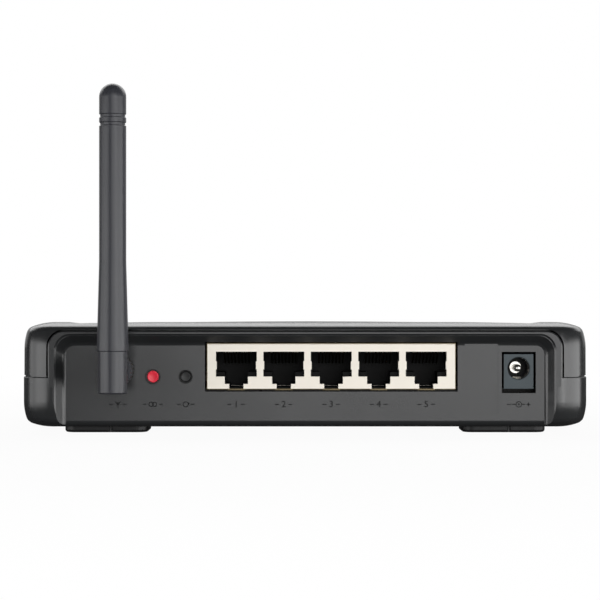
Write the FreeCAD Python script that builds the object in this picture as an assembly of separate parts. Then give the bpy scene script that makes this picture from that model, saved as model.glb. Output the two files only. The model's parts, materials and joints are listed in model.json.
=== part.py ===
"""Desktop wireless router: two-shell case, main board with sockets, and a tilting, swivelling rod antenna.

Frame: +X to the right when looking at the socket panel, +Y from the socket panel towards the front edge,
+Z up. The origin is the bottom centre of the whole object, antenna included. Lengths are in millimetres.
"""

import FreeCAD, Part
import math
import os

V = FreeCAD.Vector
X_AXIS, Y_AXIS, Z_AXIS = V(1, 0, 0), V(0, 1, 0), V(0, 0, 1)

# ---------------------------------------------------------------- driving dimensions
# Case form
case_width = 167.0
case_depth = 116.0
case_height = 31.35  # underside to the top of the side rails, at the socket end
wall = 2.0
corner_radius = 9.5  # plan corners
under_big_radius = 16.0  # shallow arc between the underside's flat and the edge
under_big_deg = 21.5  # how far that arc turns
over_big_radius = 19.5  # the same at the top
over_big_deg = 21.5
edge_small_radius = 2.6  # edge arc
edge_shoulder_radius = 16.0  # gentle arc between the edge and the upright side
edge_shoulder_deg = 17.5
top_slope_deg = 1.5  # the top falls towards the front
seam_height = 15.05  # parting line above the underside
seam_gap = 0.4
seam_groove_depth = 0.5  # how far in the gap shows before the shells meet
seam_rest_gap = 0.05
seam_edge_round = 0.25  # on the lower shell's rim
top_setback = 0.15  # the upper shell stands in from the lower one
roof = 2.6  # roof thickness at the rails

# Crowned channel between the side rails, and the gloss plate in it
crown_radius = 2900.0
crown_rise = 0.2  # crown line above the rails
rail_width = 12.0
rail_slope = 5.0
plate_length_x = 122.0
plate_from_lights = 6.0  # front edge of the plate behind the light windows
plate_corner = 8.0
plate_thickness = 1.2
plate_from_rear = 19.0
plate_gap = 0.15

# Socket panel and its frame
frame_inset = 8.15  # frame edge in from the side of the case
frame_top = 28.4  # frame top above the underside
frame_corner = 4.7
frame_gap = 0.5  # dark line between the frame and the upper shell
bezel_side = 2.05  # width of the frame's flat face at the sides
bezel_top = 1.0
recess_depth = 3.0
recess_run = 2.75  # how far the recess roof slopes in
recess_side_run = 2.3  # and its side walls
recess_corner = 4.6
panel_thickness = 2.0
frame_bevel = 0.35
recess_foot_radius = 1.3  # hollow round where the recess walls meet the panel
panel_foot_radius = 1.6  # round from the panel to the underside
blank_width = 9.8  # shallow blanked-off place between the sockets and the power socket
blank_from_edge = 14.25
blank_height = 20.4
blank_depth = 0.2

# Feet and fasteners
foot_height = 1.9
foot_length_x = 25.0
foot_length_y = 16.0
foot_corner = 3.6
foot_from_side = 24.3
foot_from_end = 18.0
foot_seat = 0.5
foot_rim_round = 0.8
foot_nick_offset = 1.5
foot_nick_radius = 0.5
case_screw_inboard = 9.4  # screw in from the foot's centre
boss_radius = 3.2
screw_radius = 1.5
screw_hole_clearance = 0.2
screw_head_radius = 2.7
screw_head_height = 1.3
case_screw_bite = 8.0

# Wall-mounting keyholes
keyhole_spacing = 80.0
keyhole_head_radius = 3.6
keyhole_slot_radius = 1.9
keyhole_slot_length = 6.0

# Rating label and vents underneath
label_length_x = 62.0
label_length_y = 30.0
label_from_rear = 38.0
label_seat = 0.3
label_corner = 1.2
label_gap = 0.3
label_thickness = 0.2
vent_length = 22.0
vent_width = 1.8
vent_pitch = 4.4
vent_count = 9
vent_from_centre = 19.6
vent_from_front = 30.0

# Main board
board_thickness = 1.6
board_top = 11.4  # above the underside of the case
board_from_panel = 0.5
board_front_gap = 8.5
board_side_gap = 9.0
standoff_radius = 3.2
standoff_from_side = 6.0
standoff_from_ends = (24.0, 22.0)  # in from the board's rear and front edges
radio_from_posts = 30.5  # centre of the radio shield behind the front case screws
board_screw_length = 7.0
board_screw_radius = 1.2
board_screw_head_radius = 2.4
board_screw_head_height = 1.4

# Five-port LAN socket block
port_count = 5
port_pitch = 13.97
lan_end_wall = 2.47  # outer wall beyond the last opening
lan_height = 13.2
lan_depth = 15.8
lan_offset = 7.7  # block centre from the case's centre plane
lan_clearance = 0.55  # over the block
lan_side_clearance = 0.75
lan_floor_clearance = 0.85
lan_setback = 0.15
opening_width = 12.05
opening_height = 7.35
opening_from_top = 2.3
step_width = 6.85
step_height = 2.15
latch_width = 4.2
insert_latch_floor = 0.4  # above the board
insert_keel_wall = 0.35
side_nib_height = 2.4
side_nib = 0.25
face_plate = 1.5
divider = 0.95
insert_gap = 0.05
housing_roof = 0.85
housing_floor = 0.5
cavity_depth = 12.4
insert_back = 1.4
insert_ledge = 1.3
contact_count = 8
contact_pitch = 1.02
contact_width = 0.45
contact_thickness = 0.3
contact_channel = 0.6
shield_sheet = 0.2
shield_setback = 0.45
shield_length = 12.0
shield_tab_width = 5.1
shield_tab_drop = 0.4

# DC power socket
dc_from_panel_edge = 8.15
dc_width = 8.7
dc_height = 10.2
dc_depth = 14.2
dc_axis_height = 6.0  # above the board
dc_bore_radius = 3.15
dc_bore_depth = 9.6
dc_pin_radius = 1.05
dc_pin_setback = 0.9
dc_setback = 0.5
dc_flange_radius = 1.7
dc_shank_radius = 0.8
dc_leaf_half = 1.4
dc_leaf_end = 10.8
dc_back_wall = 1.2
dc_back_depth = 2.2
dc_clearance = 0.65
dc_notch_depth = 5.0  # board cut back behind the opening

# Push buttons
button_axis_height = 3.55  # above the board
wps_button_radius = 1.75
wps_hole_clearance = 0.52
reset_button_radius = 1.5
reset_hole_clearance = 0.55
wps_from_lan = 16.05
reset_from_lan = 6.4
button_setback = 0.35
button_travel = 0.5
switch_size = 6.0
switch_depth = 3.4
switch_frame_sheet = 0.25
switch_behind_panel = 4.2
plunger_radius = 1.4
plunger_collar_radius = 2.1
dome_radius = 2.0
dome_thickness = 0.15

# Antenna
antenna_from_panel_edge = 15.95
antenna_axis_height = 5.5  # above the board
antenna_reach = 16.8  # panel face to the tilt pivot
socket_thread_radius = 3.1
socket_bore_radius = 2.2
socket_length_out = 7.0
socket_flange_flat = 4.0
socket_flange_thickness = 1.6
socket_tail = 5.0
socket_hole_clearance = 0.15
jam_nut_thickness = 1.8
washer_thickness = 0.4
washer_radius = 4.6
nut_radius = 4.9
nut_length = 6.7
nut_clearance = 0.1
nut_wall = 0.8
nut_rib_count = 24
nut_rib_depth = 0.3
arm_neck_radius = 2.0
arm_collar_radius = 2.8
tongue_width = 3.2
tongue_height = 5.2
tongue_clearance = 0.2
eye_radius = 2.9
hinge_pin_radius = 0.9
hinge_pin_clearance = 0.05
hinge_pin_recess = 0.4  # pin ends in from the barrel
centre_pin_radius = 0.45
spigot_length = 3.4
barrel_radius = 4.2
barrel_rim_round = 0.45
barrel_below = 6.2
barrel_above = 5.9
barrel_neck_radius = 3.4
barrel_neck_length = 7.0
barrel_neck_clearance = 0.03
radome_base_radius = 4.52
radome_radius = 3.87
radome_length = 76.6
radome_taper_length = 26.0
radome_wall = 1.1
radome_groove_depth = 0.28
radome_groove_width = 1.1
radome_grooves = (9.3, 11.65)  # below the tip
feed_cable_radius = 0.65
sleeve_radius = 2.4
sleeve_wall = 0.3
sleeve_length = 24.0
whip_radius = 0.5
whip_length = 31.0
lead_radius = 0.9
lead_plug_place = (-58.0, 56.0)  # across, and behind the board's rear edge

# Front status lights
light_count = 7
light_pitch = 9.0
light_window_x = 5.0
light_window_y = 1.6
light_from_front = 13.0
light_runner_height = 1.4
light_gap = 0.1
led_height = 0.9


# ---------------------------------------------------------------- derived places
def edge_centres(big_radius, big_deg):
    """Centres of an edge's big, small and shoulder arcs: in from the side, and away from its flat face."""
    big_lean, small_lean = math.radians(90 - big_deg), math.radians(edge_shoulder_deg)
    lift = big_radius - edge_small_radius
    spread = edge_shoulder_radius - edge_small_radius
    small_z = big_radius - lift * math.sin(big_lean)
    small_in = edge_shoulder_radius - spread * math.cos(small_lean)
    big = (small_in + lift * math.cos(big_lean), big_radius)
    shoulder = (edge_shoulder_radius, small_z + spread * math.sin(small_lean))
    return big, (small_in, small_z), shoulder


def top_front_reach():
    """How far the sloped upper shell reaches in front of the case's rear plane."""
    slope = math.radians(top_slope_deg)
    centre_in, centre_down = edge_centres(over_big_radius, over_big_deg)[2]
    centre_y, centre_rise = case_depth - centre_in, top_z - centre_down - seam_z
    return centre_y * math.cos(slope) + centre_rise * math.sin(slope) + edge_shoulder_radius - top_setback


half_width = case_width / 2
under_z = foot_height
top_z = under_z + case_height
seam_z = under_z + seam_height
lower_rim_z = seam_z - seam_gap / 2
front_reach = top_front_reach()
antenna_overhang = antenna_reach + radome_base_radius - recess_depth
overall_depth = front_reach + antenna_overhang
rear_y = antenna_overhang - overall_depth / 2
front_y = rear_y + case_depth
frame_half = half_width - frame_inset
frame_top_z = under_z + frame_top
panel_y = rear_y + recess_depth
panel_inner_y = panel_y + panel_thickness
panel_half = frame_half - bezel_side - recess_side_run
panel_top_z = frame_top_z - bezel_top - recess_run
floor_z = under_z + wall
foot_x = half_width - foot_from_side
foot_ys = (rear_y + foot_from_end, front_y - foot_from_end)
case_screw_x = foot_x - case_screw_inboard
board_top_z = under_z + board_top
board_bottom_z = board_top_z - board_thickness
board_rear_y = panel_inner_y + board_from_panel
board_front_y = front_y - board_front_gap
board_half = half_width - board_side_gap
boss_split_z = board_bottom_z - 2.0
case_screw_seat_z = under_z + foot_seat + screw_head_height + 0.2
lan_width = (port_count - 1) * port_pitch + opening_width + 2 * lan_end_wall
lan_front_y = panel_y + lan_setback
lan_left_x = lan_offset - lan_width / 2
lan_top_z = board_top_z + lan_height
port_xs = [lan_offset + (i - (port_count - 1) / 2) * port_pitch for i in range(port_count)]
opening_top_z = lan_top_z - opening_from_top
opening_floor_z = opening_top_z - opening_height
dc_x = panel_half - dc_from_panel_edge
dc_front_y = panel_y + dc_setback
dc_axis_z = board_top_z + dc_axis_height
button_z = board_top_z + button_axis_height
button_face_y = panel_y + button_setback
switch_front_y = panel_inner_y + switch_behind_panel
wps_x = lan_left_x - wps_from_lan
reset_x = lan_left_x - reset_from_lan
antenna_x = antenna_from_panel_edge - panel_half
antenna_z = board_top_z + antenna_axis_height
pivot_y = panel_y - antenna_reach
barrel_low_z = antenna_z - barrel_below
radome_low_z = antenna_z + barrel_above
radome_tip_z = radome_low_z + radome_length
nut_inner_y = panel_y - washer_thickness - jam_nut_thickness - 0.3
nut_outer_y = nut_inner_y - nut_length
spigot_end_y = panel_y - socket_length_out + spigot_length
feed_low_z = radome_low_z + 3.0
sleeve_top_z = radome_low_z + barrel_neck_length + 8.0 + sleeve_length
lead_x, lead_y = lead_plug_place[0], board_rear_y + lead_plug_place[1]
plunger_end_y = switch_front_y + 1.3
dome_y = plunger_end_y + button_travel + 0.05
light_y = front_y - light_from_front
light_xs = [(i - (light_count - 1) / 2) * light_pitch for i in range(light_count)]


# ---------------------------------------------------------------- shape helpers
def box(x0, x1, y0, y1, z0, z1):
    return Part.makeBox(x1 - x0, y1 - y0, z1 - z0, V(x0, y0, z0))


def block(x, y, z_low, size_x, size_y, size_z):
    """Box centred on x and y, standing on z_low."""
    return box(x - size_x / 2, x + size_x / 2, y - size_y / 2, y + size_y / 2, z_low, z_low + size_z)


def rod_x(radius, x0, x1, y, z):
    return Part.makeCylinder(radius, x1 - x0, V(x0, y, z), X_AXIS)


def rod_y(radius, y0, y1, x, z):
    return Part.makeCylinder(radius, y1 - y0, V(x, y0, z), Y_AXIS)


def rod_z(radius, z0, z1, x, y):
    return Part.makeCylinder(radius, z1 - z0, V(x, y, z0), Z_AXIS)


def polygon_face(points):
    return Part.Face(Part.makePolygon(points + points[:1]))


def rounded_outline(x0, x1, y0, y1, radius):
    """Closed wire of a rounded rectangle in the XY plane at z = 0."""
    bend = radius * (1 - math.sqrt(0.5))
    line, arc = Part.LineSegment, Part.Arc
    edges = [
        line(V(x0 + radius, y0, 0), V(x1 - radius, y0, 0)),
        arc(V(x1 - radius, y0, 0), V(x1 - bend, y0 + bend, 0), V(x1, y0 + radius, 0)),
        line(V(x1, y0 + radius, 0), V(x1, y1 - radius, 0)),
        arc(V(x1, y1 - radius, 0), V(x1 - bend, y1 - bend, 0), V(x1 - radius, y1, 0)),
        line(V(x1 - radius, y1, 0), V(x0 + radius, y1, 0)),
        arc(V(x0 + radius, y1, 0), V(x0 + bend, y1 - bend, 0), V(x0, y1 - radius, 0)),
        line(V(x0, y1 - radius, 0), V(x0, y0 + radius, 0)),
        arc(V(x0, y0 + radius, 0), V(x0 + bend, y0 + bend, 0), V(x0 + radius, y0, 0)),
    ]
    return Part.Wire([edge.toShape() for edge in edges])


def rounded_slab(x0, x1, y0, y1, radius, z0, z1):
    """Upright prism on a rounded rectangle."""
    face = Part.Face(rounded_outline(x0, x1, y0, y1, radius))
    face.translate(V(0, 0, z0))
    return face.extrude(V(0, 0, z1 - z0))


def arch_outline(half, z0, z1, radius, y):
    """Closed wire in the XZ plane: square at the foot, rounded at the two top corners."""
    bend = radius * (1 - math.sqrt(0.5))
    line, arc = Part.LineSegment, Part.Arc
    edges = [
        line(V(-half, y, z0), V(half, y, z0)),
        line(V(half, y, z0), V(half, y, z1 - radius)),
        arc(V(half, y, z1 - radius), V(half - bend, y, z1 - bend), V(half - radius, y, z1)),
        line(V(half - radius, y, z1), V(radius - half, y, z1)),
        arc(V(radius - half, y, z1), V(bend - half, y, z1 - bend), V(-half, y, z1 - radius)),
        line(V(-half, y, z1 - radius), V(-half, y, z0)),
    ]
    return Part.Wire([edge.toShape() for edge in edges])


def hexagon_y(flat_radius, y0, y1, x, z):
    """Hexagonal prism along Y; flat_radius is the centre-to-flat distance."""
    tip = flat_radius / math.cos(math.pi / 6)
    angles = [math.pi / 3 * i for i in range(6)]
    points = [V(x + tip * math.cos(a), y0, z + tip * math.sin(a)) for a in angles]
    return polygon_face(points).extrude(V(0, y1 - y0, 0))


def ring_y(outer, inner, y0, y1, x, z):
    return rod_y(outer, y0, y1, x, z).cut(rod_y(inner, y0, y1, x, z))


def fused(shapes):
    """One solid from touching or overlapping shapes, with its flush faces merged."""
    return shapes[0].multiFuse(shapes[1:]).removeSplitter()


def lathe(points, x, y):
    """Solid of revolution about an upright axis at x, y; points are (radius, z) or (via, end) arcs."""
    edges = []
    last = points[0]
    for point in points[1:]:
        if isinstance(point[0], tuple):
            via, end = point
            path = Part.Arc(V(last[0], 0, last[1]), V(via[0], 0, via[1]), V(end[0], 0, end[1]))
        else:
            end = point
            path = Part.LineSegment(V(last[0], 0, last[1]), V(end[0], 0, end[1]))
        edges.append(path.toShape())
        last = end
    edges.append(Part.LineSegment(V(last[0], 0, last[1]), V(points[0][0], 0, points[0][1])).toShape())
    solid = Part.Face(Part.Wire(edges)).revolve(V(0, 0, 0), Z_AXIS, 360)
    solid.translate(V(x, y, 0))
    return solid


def routed_tube(points, radius):
    """Round tube through points: straight runs joined by tangent arcs as large as the runs allow."""
    edges = []
    start = points[0]
    for before, corner, after in zip(points, points[1:], points[2:]):
        run_in, run_out = corner.sub(before), after.sub(corner)
        shorter = min(run_in.Length, run_out.Length)
        turn = run_in.getAngle(run_out)
        reach = 0.45 * shorter
        bend = reach / math.tan(turn / 2)
        into = corner.sub(V(run_in).normalize().multiply(reach))
        out = corner.add(V(run_out).normalize().multiply(reach))
        to_centre = V(into.add(out).multiply(0.5).sub(corner)).normalize()
        middle = corner.add(to_centre.multiply(math.hypot(reach, bend) - bend))
        edges.append(Part.LineSegment(start, into).toShape())
        edges.append(Part.Arc(into, middle, out).toShape())
        start = out
        print(f"lead bend radius {bend:.1f} mm")
    edges.append(Part.LineSegment(start, points[-1]).toShape())
    path = Part.Wire(edges)
    ring = Part.Wire(Part.makeCircle(radius, points[0], points[1].sub(points[0])))
    tube = path.makePipeShell([ring], True, False)
    print(f"lead volume over section times length {tube.Volume / (math.pi * radius**2 * path.Length):.4f}")
    return tube


# ---------------------------------------------------------------- case form
def edge_arcs(big_radius, big_deg, inset):
    """Three points on each arc of the underside's edge, from its flat to the upright side."""
    turns = (-90.0, big_deg - 90.0, -edge_shoulder_deg, 0.0)
    radii = (big_radius, edge_small_radius, edge_shoulder_radius)
    centres = edge_centres(big_radius, big_deg)
    arcs = []
    for (centre_in, centre_up), radius, start, end in zip(centres, radii, turns, turns[1:]):
        x, z = corner_radius - centre_in, under_z + centre_up
        reach = radius - inset
        spokes = [math.radians(degrees) for degrees in (start, (start + end) / 2, end)]
        arcs.append([V(x + reach * math.cos(a), 0, z + reach * math.sin(a)) for a in spokes])
    return arcs


def edge_profile(inset):
    """Half section of the case edge in the XZ plane; x = 0 is the plan corner's axis."""
    low, high = under_z + inset, top_z - inset
    below = edge_arcs(under_big_radius, under_big_deg, inset)
    above = [
        [V(point.x, 0, low + high - point.z) for point in reversed(arc)]
        for arc in reversed(edge_arcs(over_big_radius, over_big_deg, inset))
    ]
    edges = [Part.Arc(*arc).toShape() for arc in below + above]
    edges.insert(3, Part.LineSegment(below[-1][-1], above[0][0]).toShape())
    edges += Part.makePolygon([above[-1][-1], V(0, 0, high), V(0, 0, low), below[0][0]]).Edges
    return Part.Face(Part.Wire(edges))


def pillow(inset):
    """The case's rounded form, taken in by inset all round."""
    radius = corner_radius - inset
    x_axis_line = half_width - corner_radius
    y_low, y_high = rear_y + corner_radius, front_y - corner_radius
    low, high = under_z + inset, top_z - inset
    profile = edge_profile(inset)
    pieces = [box(-x_axis_line, x_axis_line, y_low, y_high, low, high)]
    corner = profile.revolve(V(0, 0, 0), Z_AXIS, 90)
    spans = [(2 * x_axis_line, y_high - y_low)[i % 2] for i in range(4)]
    corners = [(x_axis_line, y_high), (-x_axis_line, y_high), (-x_axis_line, y_low), (x_axis_line, y_low)]
    for i, (x, y) in enumerate(corners):
        piece = corner.copy()
        piece.rotate(V(0, 0, 0), Z_AXIS, 90 * i)
        piece.translate(V(x, y, 0))
        pieces.append(piece)
        side = profile.extrude(V(0, -spans[(i + 1) % 4], 0))
        side.rotate(V(0, 0, 0), Z_AXIS, 90 * i)
        side.translate(V(x, y, 0))
        pieces.append(side)
    return fused(pieces)


def sloped(shape):
    """Turns a shape about the rear parting line so that its top falls towards the front."""
    turned = shape.copy()
    turned.rotate(V(0, rear_y, seam_z), X_AXIS, -top_slope_deg)
    return turned


def plan_ring(outer_inset, inner_inset, z0, z1):
    """Upright ring that follows the case's plan."""

    def slab(inset):
        half, y0, y1 = half_width - inset, rear_y + inset, front_y - inset
        return rounded_slab(-half, half, y0, y1, corner_radius - inset, z0, z1)

    return slab(outer_inset).cut(slab(inner_inset))


def frame_outline(gap, y):
    return arch_outline(frame_half + gap, seam_z - 3.0, frame_top_z + gap, frame_corner + gap, y)


def frame_block(gap, y1, y0=rear_y):
    """The socket frame's outer form from y0 to y1, grown by gap."""
    return Part.Face(frame_outline(gap, y0)).extrude(V(0, y1 - y0, 0))


def recess_cutter():
    """The tapered recess over the sockets, open at its foot, with a hollow round against the panel."""
    run_out = 1.0
    widen, grow = (run * run_out / recess_depth for run in (recess_side_run, recess_run))
    half, top = frame_half - bezel_side, frame_top_z - bezel_top
    mouth = arch_outline(half + widen, -run_out, top + grow, recess_corner + grow, rear_y - run_out)
    back = arch_outline(panel_half, -run_out, panel_top_z, recess_corner - recess_run / 2, panel_y)
    recess = Part.makeLoft([mouth, back], True, True)
    rim = [edge for edge in recess.Edges if edge.BoundBox.YMin > panel_y - 0.01 and edge.BoundBox.ZMax > 0]
    recess = recess.makeFillet(recess_foot_radius, rim)
    flare = 2 * frame_bevel
    bevel_back = rear_y + 1.2 * frame_bevel
    wide = arch_outline(half + flare, -run_out, top + flare, recess_corner + flare, rear_y - frame_bevel)
    narrow_corner = recess_corner - frame_bevel
    narrow = arch_outline(half - frame_bevel, -run_out, top - frame_bevel, narrow_corner, bevel_back)
    return recess.fuse(Part.makeLoft([wide, narrow], True, True))


def panel_foot_cutter():
    """What is cut from under the panel so that it rounds into the underside."""
    centre_in, centre_up = edge_centres(under_big_radius, under_big_deg)[0]
    big_y, big_z = rear_y + centre_in, under_z + centre_up
    y = panel_y + panel_foot_radius
    z = big_z - math.sqrt((under_big_radius - panel_foot_radius) ** 2 - (big_y - y) ** 2)
    lean = math.atan2(z - big_z, y - big_y)

    def on_round(angle):
        reach = panel_foot_radius
        return V(-panel_half, y + reach * math.cos(angle), z + reach * math.sin(angle))

    start, middle, end = on_round(-math.pi), on_round((lean - math.pi) / 2), on_round(lean)
    below = V(-panel_half, end.y, under_z - 1.0)
    corner = V(-panel_half, start.y, under_z - 1.0)
    edges = [Part.Arc(start, middle, end).toShape()] + Part.makePolygon([end, below, corner, start]).Edges
    return Part.Face(Part.Wire(edges)).extrude(V(2 * panel_half, 0, 0))


def crown_cutter():
    """Everything above the crowned channel between the rails, for an unsloped case."""
    inner = half_width - rail_width - rail_slope
    outer = half_width - rail_width
    crown_z = top_z + crown_rise
    sag = crown_radius - math.sqrt(crown_radius**2 - inner**2)
    clear = 5.0
    y0 = rear_y - clear
    arc = Part.Arc(V(-inner, y0, crown_z - sag), V(0, y0, crown_z), V(inner, y0, crown_z - sag))
    rest = Part.makePolygon(
        [
            V(inner, y0, crown_z - sag),
            V(outer, y0, top_z + 0.01),
            V(outer, y0, top_z + clear),
            V(-outer, y0, top_z + clear),
            V(-outer, y0, top_z + 0.01),
            V(-inner, y0, crown_z - sag),
        ]
    )
    return Part.Face(Part.Wire([arc.toShape()] + rest.Edges)).extrude(V(0, case_depth + 2 * clear, 0))


def plate_prism(gap, z0, z1):
    half_x = plate_length_x / 2 + gap
    y0, y1 = rear_y + plate_from_rear - gap, light_y - plate_from_lights + gap
    return rounded_slab(-half_x, half_x, y0, y1, plate_corner + gap, z0, z1)


def gloss_plate():
    """Thin gloss plate let into the roof, its face following the crown."""
    floor = top_z + crown_rise - plate_thickness
    return sloped(plate_prism(0, floor, top_z + 3.0).cut(crown_cutter()))


def case_screw_places():
    return [(side * case_screw_x, y) for side in (-1, 1) for y in foot_ys]


def board_screw_places():
    x = board_half - standoff_from_side
    rows = (board_rear_y + standoff_from_ends[0], board_front_y - standoff_from_ends[1])
    return [(side * x, y) for side in (-1, 1) for y in rows]


def light_window(x, gap, z0, z1):
    y = light_y
    half_x, half_y = light_window_x / 2 + gap, light_window_y / 2 + gap
    return rounded_slab(x - half_x, x + half_x, y - half_y, y + half_y, half_y * 0.98, z0, z1)


def top_case():
    """Upper shell: roof with side rails, skirts to the parting line, four screw posts."""
    cavity = pillow(wall + top_setback).cut(box(-200, 200, -200, 200, top_z - roof, top_z + 50))
    pocket = plate_prism(plate_gap, top_z + crown_rise - plate_thickness, top_z + 5.0)
    shell = sloped(pillow(top_setback).cut(crown_cutter()).cut(pocket)).cut(sloped(cavity))
    shell = shell.cut(box(-200, 200, -200, 200, -50, lower_rim_z + seam_rest_gap))
    shell = shell.cut(plan_ring(-1.0, seam_groove_depth, seam_z - 1.0, seam_z + seam_gap / 2))
    shell = shell.cut(plan_ring(wall / 2 - 0.05, wall + 1.0, seam_z - 1.0, seam_z + 1.9))
    shell = shell.cut(frame_block(frame_gap, panel_inner_y + frame_gap))
    windows = [light_window(x, light_gap, seam_z, top_z + 5.0) for x in light_xs]
    shell = shell.cut(windows[0].multiFuse(windows[1:]))
    for x, y in case_screw_places():
        post = rod_z(boss_radius, boss_split_z + 0.1, top_z - 1.0, x, y).cut(roof_above(0.3))
        shell = shell.fuse(post)
        pilot = rod_z(screw_radius, boss_split_z - 1.0, boss_split_z + case_screw_bite + 1.0, x, y)
        shell = shell.cut(pilot)
    return shell.removeSplitter()


def roof_above(into_roof):
    """Everything higher than a little way into the roof."""
    return sloped(box(-200, 200, -200, 200, top_z - roof + into_roof, top_z + 60))


def keyhole(x):
    """Wall-mounting keyhole through the floor, its slot running towards the front."""
    z0, z1 = under_z - 1.0, floor_z + 1.0
    slot = box(x - keyhole_slot_radius, x + keyhole_slot_radius, 0, keyhole_slot_length, z0, z1)
    end = rod_z(keyhole_slot_radius, z0, z1, x, keyhole_slot_length)
    return fused([rod_z(keyhole_head_radius, z0, z1, x, 0), slot, end])


def vent_field(x_centre, y_centre):
    """A row of short cooling slots through the floor."""
    first = x_centre - (vent_count - 1) / 2 * vent_pitch
    half, reach = vent_width / 2, vent_length / 2
    y0, y1 = y_centre - reach, y_centre + reach
    xs = [first + i * vent_pitch for i in range(vent_count)]
    return [rounded_slab(x - half, x + half, y0, y1, 0.98 * half, under_z - 1.0, floor_z + 1.0) for x in xs]


def foot_prism(x, y, gap, z0, z1):
    half_x, half_y = foot_length_x / 2 + gap, foot_length_y / 2 + gap
    return rounded_slab(x - half_x, x + half_x, y - half_y, y + half_y, foot_corner + gap, z0, z1)


def panel_openings():
    """Everything that passes through the socket panel."""
    y0, y1 = panel_y - 1.0, panel_inner_y + 1.0
    x0, x1 = lan_left_x - lan_side_clearance, lan_left_x + lan_width + lan_side_clearance
    lan = box(x0, x1, y0, y1, board_top_z - lan_floor_clearance, lan_top_z + lan_clearance)
    gap = dc_clearance
    half = dc_width / 2 + gap
    dc = box(dc_x - half, dc_x + half, y0, y1, board_top_z - 2 * gap, board_top_z + dc_height + gap)
    wps = rod_y(wps_button_radius + wps_hole_clearance, y0, y1, wps_x, button_z)
    reset = rod_y(reset_button_radius + reset_hole_clearance, y0, y1, reset_x, button_z)
    antenna = rod_y(socket_thread_radius + socket_hole_clearance, y0, y1, antenna_x, antenna_z)
    blank_right, blank_back = panel_half - blank_from_edge, panel_y + blank_depth
    blank_top = panel_top_z - 0.05
    blank_left, blank_low = blank_right - blank_width, blank_top - blank_height
    blank = box(blank_left, blank_right, y0, blank_back, blank_low, blank_top)
    return [lan, dc, wps, reset, antenna, blank]


def bottom_case():
    """Lower shell: tub with the socket panel and its frame, bosses, standoffs, vents and keyholes."""
    body = pillow(0).cut(box(-200, 200, -200, 200, lower_rim_z, 200))
    rim = [edge for edge in body.Edges if edge.BoundBox.ZMin > lower_rim_z - 0.01]
    body = body.makeFillet(seam_edge_round, rim)
    cavity = pillow(wall).cut(box(-200, 200, -200, panel_inner_y, -50, 200))
    body = body.cut(cavity)
    frame_front = rear_y + frame_bevel
    bevel = Part.makeLoft([frame_outline(-frame_bevel, rear_y), frame_outline(0, frame_front)], True, True)
    body = body.multiFuse([bevel, frame_block(0, panel_inner_y, frame_front)])
    lip = plan_ring(wall / 2 + 0.1, wall, seam_z - 3.0, seam_z + 1.5)
    lip = lip.cut(box(-200, 200, rear_y - 5.0, panel_inner_y + 1.0, 0, 200))
    body = body.fuse(lip)
    body = body.cut(recess_cutter()).cut(panel_foot_cutter())
    for x, y in case_screw_places():
        body = body.fuse(rod_z(boss_radius, under_z + 1.0, boss_split_z, x, y))
    for x, y in board_screw_places():
        body = body.fuse(rod_z(standoff_radius, under_z + 1.0, board_bottom_z, x, y))
    cuts = panel_openings()
    for x, y in case_screw_places():
        cuts.append(rod_z(screw_radius + screw_hole_clearance, under_z - 1.0, boss_split_z + 1.0, x, y))
        cuts.append(rod_z(screw_head_radius + 0.3, under_z - 1.0, case_screw_seat_z, x, y))
    for x, y in board_screw_places():
        pilot_top = board_bottom_z + 1.0
        cuts.append(rod_z(board_screw_radius, pilot_top - board_screw_length, pilot_top, x, y))
    for side in (-1, 1):
        for y in foot_ys:
            cuts.append(foot_prism(side * foot_x, y, 0.1, under_z - 1.0, under_z + foot_seat))
        cuts.append(keyhole(side * keyhole_spacing / 2))
        cuts += vent_field(side * vent_from_centre, front_y - vent_from_front)
    cuts.append(label_prism(label_gap, under_z - 1.0, under_z + label_seat))
    return body.cut(cuts[0].multiFuse(cuts[1:])).removeSplitter()


def label_prism(gap, z0, z1):
    """The label's outline, grown by gap."""
    half_x, half_y = label_length_x / 2 + gap, label_length_y / 2 + gap
    y = rear_y + label_from_rear
    return rounded_slab(-half_x, half_x, y - half_y, y + half_y, label_corner + gap, z0, z1)


def foot(x, y):
    """Rubber foot: rounded pad in a shallow seat, with the moulding nick in its outer long side."""
    pad = foot_prism(x, y, 0, 0, under_z + foot_seat)
    side = -1 if y < 0 else 1
    nick = rod_z(foot_nick_radius, -1.0, under_z, x + foot_nick_offset, y + side * foot_length_y / 2)
    rim = [edge for edge in pad.Edges if edge.BoundBox.ZMax < 0.01]
    return pad.makeFillet(foot_rim_round, rim).cut(nick)


def case_screws():
    screws = []
    for x, y in case_screw_places():
        head = rod_z(screw_head_radius, case_screw_seat_z - screw_head_height, case_screw_seat_z, x, y)
        shank = rod_z(screw_radius, case_screw_seat_z - 0.1, boss_split_z + case_screw_bite, x, y)
        slot = cross_recess(x, y, case_screw_seat_z - screw_head_height, 1)
        screws.append(head.fuse(shank).cut(slot).removeSplitter())
    return Part.makeCompound(screws)


def cross_recess(x, y, z, up):
    """Cross-head recess cut 0.8 mm into a screw head from its face at z."""
    low, high = (z - 0.1, z + 0.8) if up > 0 else (z - 0.8, z + 0.1)
    across = box(x - 1.4, x + 1.4, y - 0.3, y + 0.3, low, high)
    along = box(x - 0.3, x + 0.3, y - 1.4, y + 1.4, low, high)
    return across.fuse(along)


def board_screws():
    screws = []
    for x, y in board_screw_places():
        top = board_top_z + board_screw_head_height
        head = rod_z(board_screw_head_radius, board_top_z, top, x, y)
        shank = rod_z(board_screw_radius, board_bottom_z + 1.2 - board_screw_length, board_top_z + 0.1, x, y)
        screws.append(head.fuse(shank).cut(cross_recess(x, y, top, -1)).removeSplitter())
    return Part.makeCompound(screws)


def rating_label():
    """Blank adhesive label in its shallow seat."""
    top = under_z + label_seat
    return label_prism(0, top - label_thickness, top)


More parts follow.
